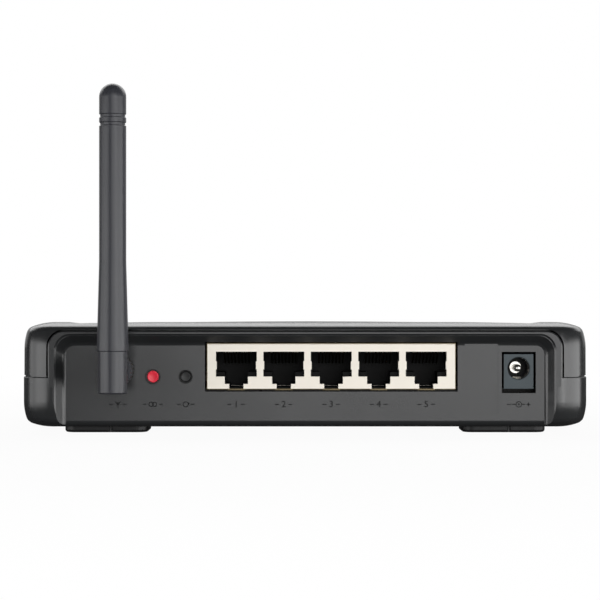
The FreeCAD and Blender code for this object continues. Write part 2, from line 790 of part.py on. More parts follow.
def light_guide():
    """Clear comb: seven upright pipes from the lights to the roof, joined by a runner under the roof."""
    led_top = board_top_z + led_height
    pipes = [light_window(x, 0, led_top + 0.4, top_z + 1.0) for x in light_xs]
    span = (light_xs[-1] - light_xs[0]) / 2 + light_window_x
    half_y = light_window_y
    low = top_z - roof - light_runner_height
    runner = sloped(block(0, light_y, low, 2 * span, 2 * half_y, light_runner_height))
    comb = runner.multiFuse(pipes)
    return comb.cut(sloped(crown_cutter())).removeSplitter()


# ---------------------------------------------------------------- main board and its parts
def main_board():
    """Board with holes for the shell posts and its own screws."""
    board = box(-board_half, board_half, board_rear_y, board_front_y, board_bottom_z, board_top_z)
    upright = [edge for edge in board.Edges if abs(edge.tangentAt(0).z) > 0.9]
    board = board.makeFillet(3.0, upright)
    holes = []
    for x, y in case_screw_places():
        holes.append(rod_z(boss_radius + 0.5, board_bottom_z - 1.0, board_top_z + 1.0, x, y))
    for x, y in board_screw_places():
        holes.append(rod_z(board_screw_radius + 0.2, board_bottom_z - 1.0, board_top_z + 1.0, x, y))
    half, y0, y1 = dc_width / 2 + dc_clearance + 1.0, board_rear_y - 1.0, board_rear_y + dc_notch_depth
    holes.append(box(dc_x - half, dc_x + half, y0, y1, board_bottom_z - 1.0, board_top_z + 1.0))
    return board.cut(holes[0].multiFuse(holes[1:]))


def port_profile(x, y0, y1, ledge, latch_floor):
    """Stepped opening for one plug; ledge lifts the mouth's floor, latch_floor the latch slot's."""
    half = opening_width / 2
    mouth = box(x - half, x + half, y0, y1, opening_floor_z + ledge, opening_top_z)
    step_low = opening_floor_z - step_height
    step = box(x - step_width / 2, x + step_width / 2, y0, y1, step_low, opening_top_z)
    latch = box(x - latch_width / 2, x + latch_width / 2, y0, y1, board_top_z + latch_floor, opening_top_z)
    return fused([mouth, step, latch])


def side_nibs(x):
    """Small guide ribs on the two sides of a socket mouth."""
    z = opening_top_z - opening_height * 0.55
    z0, z1 = z - side_nib_height / 2, z + side_nib_height / 2
    nibs = []
    for side in (-1, 1):
        edge = x + side * opening_width / 2
        x0, x1 = sorted((edge + side * 0.2, edge - side * side_nib))
        nibs.append(box(x0, x1, lan_front_y, lan_front_y + face_plate, z0, z1))
    return nibs


insert_y0 = lan_front_y + face_plate + contact_channel
insert_bar_y = lan_front_y + cavity_depth
insert_end_y = insert_bar_y + insert_back
insert_low_z = board_top_z + housing_floor
insert_top_z = lan_top_z - housing_roof - contact_channel


def lan_housing():
    """Outer moulding of the five-socket block, open at the back."""
    y1 = lan_front_y + lan_depth
    shell = box(lan_left_x, lan_left_x + lan_width, lan_front_y, y1, board_top_z, lan_top_z)
    half = (port_pitch - divider) / 2
    roof_z = lan_top_z - housing_roof
    keel = latch_width / 2 + insert_keel_wall + insert_gap
    face_end, keel_end = lan_front_y + face_plate + 1.0, insert_bar_y + insert_gap
    cuts = [port_profile(x, lan_front_y - 1.0, face_end, 0, -1.0) for x in port_xs]
    cuts += [box(x - keel, x + keel, insert_y0 - 0.3, keel_end, board_top_z - 1.0, roof_z) for x in port_xs]
    for x in port_xs:
        cuts.append(box(x - half, x + half, lan_front_y + face_plate, y1 + 1.0, insert_low_z, roof_z))
    first_x, last_x = port_xs[0] - half, port_xs[-1] + half
    cuts.append(box(first_x, last_x, insert_bar_y - 0.2, y1 + 1.0, insert_low_z, roof_z))
    inner_x0, inner_x1 = lan_left_x + 1.0, lan_left_x + lan_width - 1.0
    cuts.append(box(inner_x0, inner_x1, insert_end_y - 0.1, y1 + 1.0, board_top_z - 1.0, roof_z))
    shell = shell.cut(cuts[0].multiFuse(cuts[1:]))
    nibs = [nib for x in port_xs for nib in side_nibs(x)]
    shell = shell.multiFuse(nibs).removeSplitter()
    front_edges = [edge for edge in shell.Edges if edge.BoundBox.YMax < lan_front_y + 0.01]
    top_edge = [edge for edge in front_edges if edge.BoundBox.ZMin > roof_z]
    return shell.makeFillet(0.3, top_edge)


def shield_tabs():
    """Tabs of the shield that turn down in front of the board, one under each latch slot."""
    half = shield_tab_width / 2
    y0, y1 = lan_front_y + 0.12, lan_front_y + shield_setback + 0.1
    return [box(x - half, x + half, y0, y1, board_top_z - shield_tab_drop, board_top_z) for x in port_xs]


def lan_shield():
    """Sheet-metal shield round the front of the socket block, with a tab under each latch slot."""
    y0, y1 = lan_front_y + shield_setback, lan_front_y + shield_length
    x0, x1 = lan_left_x, lan_left_x + lan_width
    t = shield_sheet
    wrap = box(x0 - t, x1 + t, y0, y1, board_top_z, lan_top_z + t)
    wrap = wrap.cut(box(x0, x1, y0 - 1.0, y1 + 1.0, 0, lan_top_z))
    lip = box(x0 - t, x1 + t, y0, board_rear_y - 0.1, board_top_z - t, board_top_z)
    return fused([wrap, lip] + shield_tabs())


def lan_insert():
    """Inner moulding: one cup behind each socket mouth, joined by a bar at the back."""
    half = (port_pitch - divider) / 2 - insert_gap
    cups = [box(x - half, x + half, insert_y0, insert_end_y, insert_low_z, insert_top_z) for x in port_xs]
    bar = box(port_xs[0] - half, port_xs[-1] + half, insert_bar_y, insert_end_y, insert_low_z, insert_top_z)
    keel, keel_z = latch_width / 2 + insert_keel_wall, board_top_z + insert_gap
    keels = [box(x - keel, x + keel, insert_y0, insert_bar_y, keel_z, insert_low_z + 0.1) for x in port_xs]
    y0, y1 = insert_y0 - 1.0, insert_bar_y
    hollows = [port_profile(x, y0, y1, insert_ledge, insert_latch_floor) for x in port_xs]
    return fused(cups + [bar] + keels).cut(hollows[0].multiFuse(hollows[1:])).removeSplitter()


def lan_contacts():
    """Spring contacts: up the back of the insert, over its roof and folded back into each socket."""
    t = contact_thickness
    rear, front = insert_end_y, insert_y0
    top, ceiling = insert_top_z, opening_top_z
    tip_y, tip_z = front + 7.6, ceiling - 3.4
    path = [
        (rear + t, board_top_z),
        (rear + t, top + t),
        (front - t, top + t),
        (front - t, ceiling - t),
        (tip_y, tip_z - t),
        (tip_y, tip_z),
        (front, ceiling - t / 2),
        (front, top),
        (rear, top),
        (rear, board_top_z),
    ]
    springs = []
    for x in port_xs:
        for i in range(contact_count):
            x0 = x + (i - (contact_count - 1) / 2) * contact_pitch - contact_width / 2
            face = polygon_face([V(x0, y, z) for y, z in path])
            springs.append(face.extrude(V(contact_width, 0, 0)))
    return Part.makeCompound(springs)


def dc_jack_body():
    """Power socket moulding: bore for the plug, slot for the side contact, open channel behind."""
    half = dc_width / 2
    y0, y1 = dc_front_y, dc_front_y + dc_depth
    body = box(dc_x - half, dc_x + half, y0, y1, board_top_z, board_top_z + dc_height)
    upper = [edge for edge in body.Edges if edge.BoundBox.ZMin > board_top_z + dc_height - 0.01]
    body = body.makeFillet(0.2, upper)
    bore = rod_y(dc_bore_radius, y0 - 1.0, y0 + dc_bore_depth, dc_x, dc_axis_z)
    mouth = Part.makeCone(dc_bore_radius + 0.3, dc_bore_radius, 0.3, V(dc_x, y0, dc_axis_z), Y_AXIS)
    rear_hole = rod_y(dc_shank_radius, y0 + dc_bore_depth - 1.0, y1 + 1.0, dc_x, dc_axis_z)
    slot_x0, slot_x1 = dc_x - dc_leaf_half - 0.2, dc_x + dc_leaf_half - 0.2
    slot = box(slot_x0, slot_x1, y0 + 0.9, y0 + dc_leaf_end, board_top_z - 1.0, dc_axis_z - 2.0)
    inner, back_top = half - dc_back_wall, board_top_z + dc_height - 1.4
    back = box(dc_x - inner, dc_x + inner, y1 - dc_back_depth, y1 + 1.0, board_top_z - 1.0, back_top)
    return body.cut(bore.multiFuse([mouth, rear_hole, slot, back])).removeSplitter()


def dc_jack_pin():
    """Centre pin with a domed tip, a seating flange and a solder tag behind."""
    tip_y = dc_front_y + dc_pin_setback
    base_y = dc_front_y + dc_bore_depth
    wall_end = dc_front_y + dc_depth - dc_back_depth
    tag_y = wall_end + 0.4
    stem = rod_y(dc_pin_radius, tip_y + dc_pin_radius, base_y, dc_x, dc_axis_z)
    tip = Part.makeSphere(dc_pin_radius, V(dc_x, tip_y + dc_pin_radius, dc_axis_z))
    flange = rod_y(dc_flange_radius, base_y - 0.6, base_y, dc_x, dc_axis_z)
    shank = rod_y(dc_shank_radius, base_y - 0.1, tag_y, dc_x, dc_axis_z)
    tag = box(dc_x - 1.2, dc_x + 1.2, wall_end, tag_y, board_top_z, dc_axis_z + 1.2)
    return fused([stem, tip, flange, shank, tag])


def dc_jack_leaf():
    """Side contact: a leaf bowed into the bore from below, its tail on the board."""
    y_end = dc_front_y + dc_leaf_end
    z = dc_axis_z - dc_bore_radius
    path = [
        (y_end, board_top_z),
        (y_end, z - 0.3),
        (dc_front_y + 5.6, z + 0.45),
        (dc_front_y + 1.3, z - 0.35),
        (dc_front_y + 1.3, z - 0.7),
        (dc_front_y + 5.6, z + 0.1),
        (y_end - 0.35, z - 0.65),
        (y_end - 0.35, board_top_z),
    ]
    width = 2 * dc_leaf_half - 0.4
    face = polygon_face([V(dc_x - dc_leaf_half, y, zz) for y, zz in path])
    return face.extrude(V(width, 0, 0))


def button_cap(x, radius):
    """Push-button cap: dished face, retaining flange behind the panel, stem back to the switch."""
    end_y = switch_front_y - 0.8
    cap = rod_y(radius, button_face_y, end_y, x, button_z)
    rim = [edge for edge in cap.Edges if edge.BoundBox.YMax < button_face_y + 0.01]
    cap = cap.makeFillet(0.3, rim)
    dish_radius = 7.0
    dish = Part.makeSphere(dish_radius, V(x, button_face_y - dish_radius + 0.14, button_z))
    flange = rod_y(radius + 1.1, panel_inner_y + 0.3, panel_inner_y + 1.1, x, button_z)
    return cap.cut(dish).fuse(flange).removeSplitter()


def plunger(x):
    """Switch plunger: stem from the cap through the switch face, collar inside."""
    stem = rod_y(plunger_radius, switch_front_y - 0.8, plunger_end_y, x, button_z)
    collar = rod_y(plunger_collar_radius, plunger_end_y - 0.65, plunger_end_y, x, button_z)
    return fused([stem, collar])


def switch_body(x):
    """Switch moulding with the plunger's bore and a shoulder for the snap dome."""
    half = switch_size / 2
    y0 = switch_front_y
    body = box(x - half, x + half, y0, y0 + switch_depth, button_z - half, button_z + half)
    cuts = [
        rod_y(plunger_radius + 0.1, y0 - 1.0, y0 + 1.0, x, button_z),
        rod_y(plunger_collar_radius + 0.15, y0 + 0.6, dome_y + dome_thickness, x, button_z),
        rod_y(dome_radius - 0.5, y0 + 1.0, y0 + switch_depth - 0.5, x, button_z),
    ]
    return body.cut(cuts[0].multiFuse(cuts[1:]))


def snap_dome(x):
    return rod_y(dome_radius, dome_y, dome_y + dome_thickness, x, button_z)


def switch_frame(x):
    """Sheet-metal bracket that carries the switch and stands on the board."""
    half, t = switch_size / 2, switch_frame_sheet
    y0, y1 = switch_front_y + 0.4, switch_front_y + switch_depth
    top = button_z + half
    left = box(x - half - t, x - half, y0, y1 + t, board_top_z, top)
    right = box(x + half, x + half + t, y0, y1 + t, board_top_z, top)
    back = box(x - half - t, x + half + t, y1, y1 + t, button_z - 1.0, top)
    lid = box(x - half - t, x + half + t, y0, y1 + t, top, top + t)
    return fused([left, right, back, lid])


def finned_sink(x, y, z, size, height, fins):
    """Extruded heat sink: base plate and upright fins along Y."""
    base = block(x, y, z, size, size, 1.6)
    fin_xs = [x + (size - 1.0) * (i / (fins - 1) - 0.5) for i in range(fins)]
    uprights = [block(fin_x, y, z + 1.6, 1.0, size, height - 1.6) for fin_x in fin_xs]
    return base.multiFuse(uprights).removeSplitter()


def chip(x, y, size_x, size_y, height):
    """Moulded chip package with its corner mark dimple."""
    body = block(x, y, board_top_z, size_x, size_y, height)
    upper = [edge for edge in body.Edges if edge.BoundBox.ZMin > board_top_z + height - 0.01]
    body = body.makeChamfer(0.15, upper)
    top, mark_x, mark_y = board_top_z + height, x - size_x / 2 + 1.3, y + size_y / 2 - 1.3
    return body.cut(rod_z(0.45, top - 0.1, top + 1.0, mark_x, mark_y))


def shield_can(x, y, size_x, size_y, height):
    """Folded shield over the radio parts, open underneath."""
    outer = block(x, y, board_top_z, size_x, size_y, height)
    upper = [edge for edge in outer.Edges if edge.BoundBox.ZMax > board_top_z + height - 0.01]
    outer = outer.makeFillet(0.6, upper)
    can = outer.cut(block(x, y, board_top_z - 1.0, size_x - 0.5, size_y - 0.5, height + 0.75))
    holes = [
        rod_z(0.6, board_top_z + height - 1.0, board_top_z + height + 1.0, x + i * 4.0, y + j * 4.0)
        for i in (-2, -1, 0, 1, 2)
        for j in (-1, 0, 1)
    ]
    return can.cut(holes[0].multiFuse(holes[1:]))


def electrolytic(x, y, radius, height):
    """Electrolytic capacitor: base bead, sleeve and rolled top."""
    can = rod_z(radius, board_top_z, board_top_z + height, x, y)
    rims = [edge for edge in can.Edges if len(edge.Vertexes) == 1 and edge.BoundBox.ZLength < 0.01]
    can = can.makeFillet(0.5, rims)
    groove = Part.makeTorus(radius + 0.25, 0.6, V(x, y, board_top_z + 2.0), Z_AXIS)
    return can.cut(groove)


def power_inductor(x, y):
    """Shielded inductor: square ferrite block with cut corners and a round top well."""
    body = block(x, y, board_top_z, 7.0, 7.0, 3.6)
    upright = [edge for edge in body.Edges if edge.BoundBox.ZLength > 3.0]
    body = body.makeChamfer(1.0, upright)
    return body.cut(rod_z(2.6, board_top_z + 3.2, board_top_z + 4.0, x, y))


def regulator(x, y):
    """Voltage regulator: moulded body, heat tab and three legs, as one soldered part."""
    body = block(x, y, board_top_z + 0.1, 6.5, 3.5, 1.6)
    tab = block(x, y + 2.4, board_top_z, 3.0, 1.9, 0.4)
    legs = [block(x + i * 2.3, y - 2.5, board_top_z, 0.7, 2.0, 0.3) for i in (-1, 0, 1)]
    return body.multiFuse([tab] + legs).removeSplitter()


def crystal(x, y):
    """Quartz crystal can with rounded ends."""
    return rounded_slab(x - 5.2, x + 5.2, y - 2.2, y + 2.2, 2.15, board_top_z, board_top_z + 3.2)


def status_leds():
    return Part.makeCompound([block(x, light_y, board_top_z, 1.6, 0.8, led_height) for x in light_xs])


# ---------------------------------------------------------------- antenna
def antenna_socket():
    """Bulkhead socket: threaded nose outside, hexagon against the panel inside, crimp tail."""
    y_out = panel_y - socket_length_out
    y_flange = panel_inner_y + socket_flange_thickness
    nose = rod_y(socket_thread_radius, y_out, panel_inner_y + 0.1, antenna_x, antenna_z)
    flange = hexagon_y(socket_flange_flat, panel_inner_y, y_flange, antenna_x, antenna_z)
    tail = rod_y(socket_bore_radius, y_flange - 0.1, y_flange + socket_tail, antenna_x, antenna_z)
    bore = rod_y(socket_bore_radius, y_out - 1.0, panel_inner_y, antenna_x, antenna_z)
    return fused([nose, flange, tail]).cut(bore)


def socket_insulator():
    """White insulator in the socket's bore, holding the receiving hole for the centre pin."""
    plug = rod_y(socket_bore_radius, spigot_end_y + 0.4, panel_inner_y, antenna_x, antenna_z)
    return plug.cut(rod_y(centre_pin_radius + 0.1, spigot_end_y, spigot_end_y + 4.6, antenna_x, antenna_z))


def socket_washer():
    y1 = panel_y
    return ring_y(washer_radius, socket_thread_radius, y1 - washer_thickness, y1, antenna_x, antenna_z)


def jam_nut():
    y1 = panel_y - washer_thickness
    y0 = y1 - jam_nut_thickness
    nut = hexagon_y(socket_flange_flat, y0, y1, antenna_x, antenna_z)
    return nut.cut(rod_y(socket_thread_radius, y0 - 1.0, y1 + 1.0, antenna_x, antenna_z))


def antenna_nut():
    """Ribbed coupling nut that turns freely on the socket and the arm."""
    ring = rod_y(nut_radius - nut_rib_depth, nut_outer_y, nut_inner_y, antenna_x, antenna_z)
    ribs = []
    for i in range(nut_rib_count):
        angle = 2 * math.pi * i / nut_rib_count
        reach = nut_radius - nut_rib_depth
        x = antenna_x + reach * math.cos(angle)
        z = antenna_z + reach * math.sin(angle)
        ribs.append(rod_y(nut_rib_depth, nut_outer_y + 0.5, nut_inner_y - 0.5, x, z))
    ring = ring.multiFuse(ribs)
    bore_radius, neck_radius = socket_thread_radius + nut_clearance, arm_neck_radius + nut_clearance
    bore = rod_y(bore_radius, nut_outer_y + nut_wall, nut_inner_y + 1.0, antenna_x, antenna_z)
    neck = rod_y(neck_radius, nut_outer_y - 1.0, nut_outer_y + 2.0, antenna_x, antenna_z)
    return ring.cut(bore.fuse(neck))


def antenna_arm():
    """Swivel arm: spigot and collar in the socket and nut, neck, and a flat tongue with the hinge eye."""
    collar_y = nut_outer_y + nut_wall + 0.05
    socket_end_y = panel_y - socket_length_out
    tongue_end_y = nut_outer_y - 0.35
    half = tongue_width / 2
    spigot = rod_y(socket_bore_radius - nut_clearance, collar_y + 0.1, spigot_end_y, antenna_x, antenna_z)
    collar = rod_y(arm_collar_radius, collar_y, socket_end_y - 0.05, antenna_x, antenna_z)
    neck = rod_y(arm_neck_radius, tongue_end_y - 0.1, collar_y + 0.1, antenna_x, antenna_z)
    z0, z1 = antenna_z - tongue_height / 2, antenna_z + tongue_height / 2
    tongue = box(antenna_x - half, antenna_x + half, pivot_y, tongue_end_y, z0, z1)
    eye = rod_x(eye_radius, antenna_x - half, antenna_x + half, pivot_y, antenna_z)
    hole_radius, reach = hinge_pin_radius + hinge_pin_clearance, half + 1.0
    hole = rod_x(hole_radius, antenna_x - reach, antenna_x + reach, pivot_y, antenna_z)
    pin_seat = rod_y(centre_pin_radius, spigot_end_y - 3.0, spigot_end_y + 1.0, antenna_x, antenna_z)
    return fused([spigot, collar, neck, tongue, eye]).cut(hole.fuse(pin_seat))


def antenna_centre_pin():
    """Contact pin from the arm's spigot into the socket's insulator."""
    return rod_y(centre_pin_radius, spigot_end_y - 3.0, spigot_end_y + 4.4, antenna_x, antenna_z)


def antenna_hinge_pin():
    half = barrel_radius - hinge_pin_recess
    return rod_x(hinge_pin_radius, antenna_x - half, antenna_x + half, pivot_y, antenna_z)


def antenna_barrel():
    """Hinge barrel: slotted behind and below for the arm, with the radome's neck on top."""
    x, y = antenna_x, pivot_y
    drum = rod_z(barrel_radius, barrel_low_z, radome_low_z, x, y)
    rim = [edge for edge in drum.Edges if edge.BoundBox.ZMax < barrel_low_z + 0.01]
    drum = drum.makeFillet(barrel_rim_round, rim)
    neck = rod_z(barrel_neck_radius, radome_low_z - 0.1, radome_low_z + barrel_neck_length, x, y)
    half = tongue_width / 2 + tongue_clearance
    room = eye_radius + tongue_clearance
    slot = box(x - half, x + half, y - room, y + 10.0, barrel_low_z - 1.0, antenna_z + room)
    pin_hole = rod_x(hinge_pin_radius, x - 10.0, x + 10.0, y, antenna_z)
    feed_hole = rod_z(feed_cable_radius, feed_low_z, radome_low_z + 20.0, x, y)
    return fused([drum, neck]).cut(slot.multiFuse([pin_hole, feed_hole]))


def antenna_radome():
    """Rod cover: stout base tapering to a straight rod with two fine grooves and a domed tip."""
    low, tip = radome_low_z, radome_tip_z
    r, wall_in = radome_radius, radome_radius - radome_wall
    bore = barrel_neck_radius + barrel_neck_clearance
    outline = [(bore, low), (radome_base_radius - 0.25, low), (radome_base_radius, low + 0.25)]
    outline += [(radome_base_radius, low + 2.0), (radome_radius, low + radome_taper_length)]
    for below in reversed(radome_grooves):
        z = tip - below
        half = radome_groove_width / 2
        dip = r - radome_groove_depth
        outline += [(r, z - half), (dip, z - half + 0.2), (dip, z + half - 0.2), (r, z + half)]
    outline.append((r, tip - r))
    outline.append(((r * math.sqrt(0.5), tip - r + r * math.sqrt(0.5)), (0, tip)))
    inner = wall_in
    outline += [(0, tip - radome_wall)]
    outline.append(((inner * math.sqrt(0.5), tip - r + inner * math.sqrt(0.5)), (inner, tip - r)))
    outline += [(inner, low + barrel_neck_length + 0.2), (bore, low + barrel_neck_length + 0.2)]
    return lathe(outline, antenna_x, pivot_y)


def feed_cable():
    """Thin coax from the barrel's neck up through the sleeve."""
    return rod_z(feed_cable_radius, feed_low_z, sleeve_top_z, antenna_x, pivot_y)


def radiator_sleeve():
    """Brass skirt of the dipole, closed on top."""
    low = sleeve_top_z - sleeve_length
    tube = rod_z(sleeve_radius, low, sleeve_top_z, antenna_x, pivot_y)
    hollow = rod_z(sleeve_radius - sleeve_wall, low - 1.0, sleeve_top_z - 0.6, antenna_x, pivot_y)
    return tube.cut(hollow.fuse(rod_z(feed_cable_radius, low, sleeve_top_z + 1.0, antenna_x, pivot_y)))


def radiator_whip():
    """Upper element of the dipole, soldered to the top of the feed."""
    return rod_z(whip_radius, sleeve_top_z, sleeve_top_z + whip_length, antenna_x, pivot_y)


def lead_receptacle():
    """Board-side half of the coax connector."""
    base = block(lead_x, lead_y, board_top_z, 3.0, 3.0, 0.5)
    return base.fuse(rod_z(1.0, board_top_z + 0.4, board_top_z + 1.1, lead_x, lead_y)).removeSplitter()


def lead_plug():
    """Coax plug pressed on the receptacle, its ferrule taking the cable."""
    low, high = board_top_z + 0.6, board_top_z + 2.4
    cap = rod_z(1.6, low, high, lead_x, lead_y).cut(rod_z(1.0, low - 1.0, board_top_z + 1.1, lead_x, lead_y))
    ferrule = box(lead_x - 1.1, lead_x + 1.1, lead_y - 3.2, lead_y, low, high)
    ferrule = ferrule.cut(rod_z(1.3, low - 1.0, board_top_z + 1.1, lead_x, lead_y))
    return fused([cap, ferrule])


def antenna_lead():
    """Coax from the socket's tail to the plug on the board."""
    start_y = panel_inner_y + socket_flange_thickness + socket_tail
    plug_z = board_top_z + 1.5
    points = [
        V(antenna_x, start_y, antenna_z),
        V(antenna_x, start_y + 18.0, antenna_z),
        V(lead_x, lead_y - 17.0, plug_z),
        V(lead_x, lead_y - 3.2, plug_z),
    ]
    return routed_tube(points, lead_radius)


# ---------------------------------------------------------------- parts list
def parts():
    """Every piece by node name."""
    nodes = {
        "bottom_case": bottom_case(),
        "top_case": top_case(),
        "top_plate": gloss_plate(),
        "light_guide": light_guide(),
        "case_screws": case_screws(),
        "rating_label": rating_label(),
        "main_board": main_board(),
        "board_screws": board_screws(),
        "lan_housing": lan_housing(),
        "lan_shield": lan_shield(),
        "lan_insert": lan_insert(),
        "lan_contacts": lan_contacts(),
        "dc_jack_body": dc_jack_body(),
        "dc_jack_pin": dc_jack_pin(),
        "dc_jack_leaf": dc_jack_leaf(),
        "status_leds": status_leds(),
        "antenna_socket": antenna_socket(),
        "socket_insulator": socket_insulator(),
        "socket_washer": socket_washer(),
        "socket_jam_nut": jam_nut(),
        "antenna_nut": antenna_nut(),
        "antenna_arm": antenna_arm(),
        "antenna_centre_pin": antenna_centre_pin(),
        "antenna_hinge_pin": antenna_hinge_pin(),
        "antenna_barrel": antenna_barrel(),
        "antenna_radome": antenna_radome(),
        "feed_cable": feed_cable(),
        "radiator_sleeve": radiator_sleeve(),
        "radiator_whip": radiator_whip(),
        "antenna_lead": antenna_lead(),
        "lead_plug": lead_plug(),
        "lead_receptacle": lead_receptacle(),
    }
    for end, y in zip(("rear", "front"), foot_ys):
        nodes[f"foot_{end}_left"] = foot(-foot_x, y)
        nodes[f"foot_{end}_right"] = foot(foot_x, y)
    for name, x, radius in (("pairing", wps_x, wps_button_radius), ("reset", reset_x, reset_button_radius)):
        nodes[f"{name}_button"] = button_cap(x, radius)
        nodes[f"{name}_plunger"] = plunger(x)
        nodes[f"{name}_switch_body"] = switch_body(x)
        nodes[f"{name}_switch_dome"] = snap_dome(x)
        nodes[f"{name}_switch_frame"] = switch_frame(x)
    nodes.update(board_parts())
    return nodes


def board_parts():
    """Soldered parts laid out on the board."""
    rear = board_rear_y
    chip_x, chip_y, chip_height = 2.0, rear + 50.0, 1.4
    return {
        "router_chip": chip(chip_x, chip_y, 17.0, 17.0, chip_height),
        "heat_sink": finned_sink(chip_x, chip_y, board_top_z + chip_height, 22.0, 8.0, 7),
        "memory_chip": chip(26.0, rear + 52.0, 10.2, 18.4, 1.1),
        "flash_chip": chip(27.0, rear + 74.0, 5.3, 5.3, 1.8),
        "radio_shield": shield_can(-40.0, foot_ys[1] - radio_from_posts, 26.0, 19.0, 2.6),
        "port_transformer_left": chip(-8.0, rear + 24.0, 22.0, 9.5, 5.6),
        "port_transformer_right": chip(24.0, rear + 24.0, 22.0, 9.5, 5.6),
        "clock_crystal": crystal(-12.0, rear + 66.0),
        "input_capacitor": electrolytic(62.0, rear + 25.0, 4.0, 10.0),
        "output_capacitor": electrolytic(62.0, rear + 37.0, 3.15, 7.7),
        "power_inductor": power_inductor(50.0, rear + 36.0),
        "regulator": regulator(49.0, rear + 26.0),
    }


def main():
    os.makedirs("parts", exist_ok=True)
    for name, shape in parts().items():
        if not shape.isValid():
            print("not valid:", name)
        shape.exportStep(f"parts/{name}.step")
        print(f"{name}: {len(shape.Solids)} solids, {shape.Volume:.1f} mm3")


main()
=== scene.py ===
"""Studio scene of a desktop wireless router: finishes, small moulded marks, lights and camera."""

import json
import logging
import math
from dataclasses import dataclass, field
from enum import Enum
from typing import Optional, Sequence, Union

import bmesh
import bpy
from mathutils import Matrix, Vector


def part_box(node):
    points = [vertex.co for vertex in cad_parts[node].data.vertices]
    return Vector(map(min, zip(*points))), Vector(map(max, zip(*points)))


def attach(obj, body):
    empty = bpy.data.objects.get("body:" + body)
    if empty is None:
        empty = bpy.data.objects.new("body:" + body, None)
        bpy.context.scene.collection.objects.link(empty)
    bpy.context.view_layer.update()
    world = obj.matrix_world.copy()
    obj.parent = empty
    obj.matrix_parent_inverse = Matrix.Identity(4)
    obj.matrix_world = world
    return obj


LOG = logging.getLogger("router_scene")
MM = 0.001
Number = Union[int, float]
Colour = tuple[float, float, float]
Span = tuple[float, float]


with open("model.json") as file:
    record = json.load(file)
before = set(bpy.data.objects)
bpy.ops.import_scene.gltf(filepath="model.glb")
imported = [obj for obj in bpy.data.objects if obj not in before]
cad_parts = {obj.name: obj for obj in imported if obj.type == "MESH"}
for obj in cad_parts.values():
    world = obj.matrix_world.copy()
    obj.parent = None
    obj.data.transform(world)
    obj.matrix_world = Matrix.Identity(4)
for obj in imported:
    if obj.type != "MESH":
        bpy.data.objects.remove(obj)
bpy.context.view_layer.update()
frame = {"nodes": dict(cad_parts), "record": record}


def panel_face() -> float:
    """The socket panel's outer face along y, where the antenna socket's washer lies on it."""
    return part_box("socket_washer")[1][1]


def middle_across(node: str) -> float:
    """Middle of a node along x.

    Args:
        node: the node's name.

    Returns:
        The coordinate.
    """
    low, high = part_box(node)
    return (low[0] + high[0]) / 2


def tone(red: int, green: int, blue: int) -> Colour:
    """Linear colour from the 0 to 255 values of a display colour.

    Args:
        red: display value of red.
        green: display value of green.
        blue: display value of blue.

    Returns:
        Linear red, green and blue.
    """

    def channel(value: int) -> float:
        """Linear value of one channel."""
        share = value / 255
        return share / 12.92 if share <= 0.04045 else ((share + 0.055) / 1.055) ** 2.4

    return (channel(red), channel(green), channel(blue))


def scaled(colour: Colour, share: float) -> Colour:
    """A colour made lighter or darker.

    Args:
        colour: linear colour.
        share: factor on each channel.

    Returns:
        The scaled colour, kept within 0 and 1.
    """
    return tuple(min(1.0, channel * share) for channel in colour)


# ------------------------------------------------------------------ shader building


class Signal:
    """A number socket that takes part in Python arithmetic by adding Math nodes."""

    def __init__(self, graph: "Graph", socket: bpy.types.NodeSocket) -> None:
        """Wraps a socket.

        Args:
            graph: the graph that the socket belongs to.
            socket: the output socket.
        """
        self.graph = graph
        self.socket = socket

    def _math(self, operation: str, *values: "Signal | Number") -> "Signal":
        """Adds one Math node.

        Args:
            operation: the node's operation.
            values: its inputs in order.

        Returns:
            The node's value.
        """
        made = self.graph.node("ShaderNodeMath", {"operation": operation}, dict(enumerate(values)))
        return Signal(self.graph, made.outputs[0])

    def __add__(self, other: "Signal | Number") -> "Signal":
        """Sum."""
        return self._math("ADD", self, other)

    __radd__ = __add__

    def __sub__(self, other: "Signal | Number") -> "Signal":
        """Difference."""
        return self._math("SUBTRACT", self, other)

    def __rsub__(self, other: Number) -> "Signal":
        """Reflected difference."""
        return self._math("SUBTRACT", other, self)

    def __mul__(self, other: "Signal | Number") -> "Signal":
        """Product."""
        return self._math("MULTIPLY", self, other)

    def __truediv__(self, other: "Signal | Number") -> "Signal":
        """Quotient."""
        return self._math("DIVIDE", self, other)

    def __pow__(self, other: "Signal | Number") -> "Signal":
        """Power."""
        return self._math("POWER", self, other)

    def __gt__(self, other: "Signal | Number") -> "Signal":
        """One where this is greater, otherwise zero."""
        return self._math("GREATER_THAN", self, other)

    def __lt__(self, other: "Signal | Number") -> "Signal":
        """One where this is less, otherwise zero."""
        return self._math("LESS_THAN", self, other)

    def most(self, other: "Signal | Number") -> "Signal":
        """The greater of two values."""
        return self._math("MAXIMUM", self, other)

    def least(self, other: "Signal | Number") -> "Signal":
        """The lesser of two values."""
        return self._math("MINIMUM", self, other)

    def wave(self) -> "Signal":
        """Sine."""
        return self._math("SINE", self)

    def fraction(self) -> "Signal":
        """Part after the point."""
        return self._math("FRACT", self)

    def ramp(self, low: float, high: float) -> "Signal":
        """Smooth rise from 0 at low to 1 at high.

        Args:
            low: where the rise begins.
            high: where it ends.

        Returns:
            The value between 0 and 1.
        """
        made = self.graph.node(
            "ShaderNodeMapRange",
            {"interpolation_type": "SMOOTHSTEP"},
            {"Value": self, "From Min": low, "From Max": high},
        )
        return Signal(self.graph, made.outputs["Result"])


class Metric(Enum):
    """How a pattern of cells measures the distance to its points."""

    STRAIGHT = "EUCLIDEAN"
    STEPPED = "MANHATTAN"


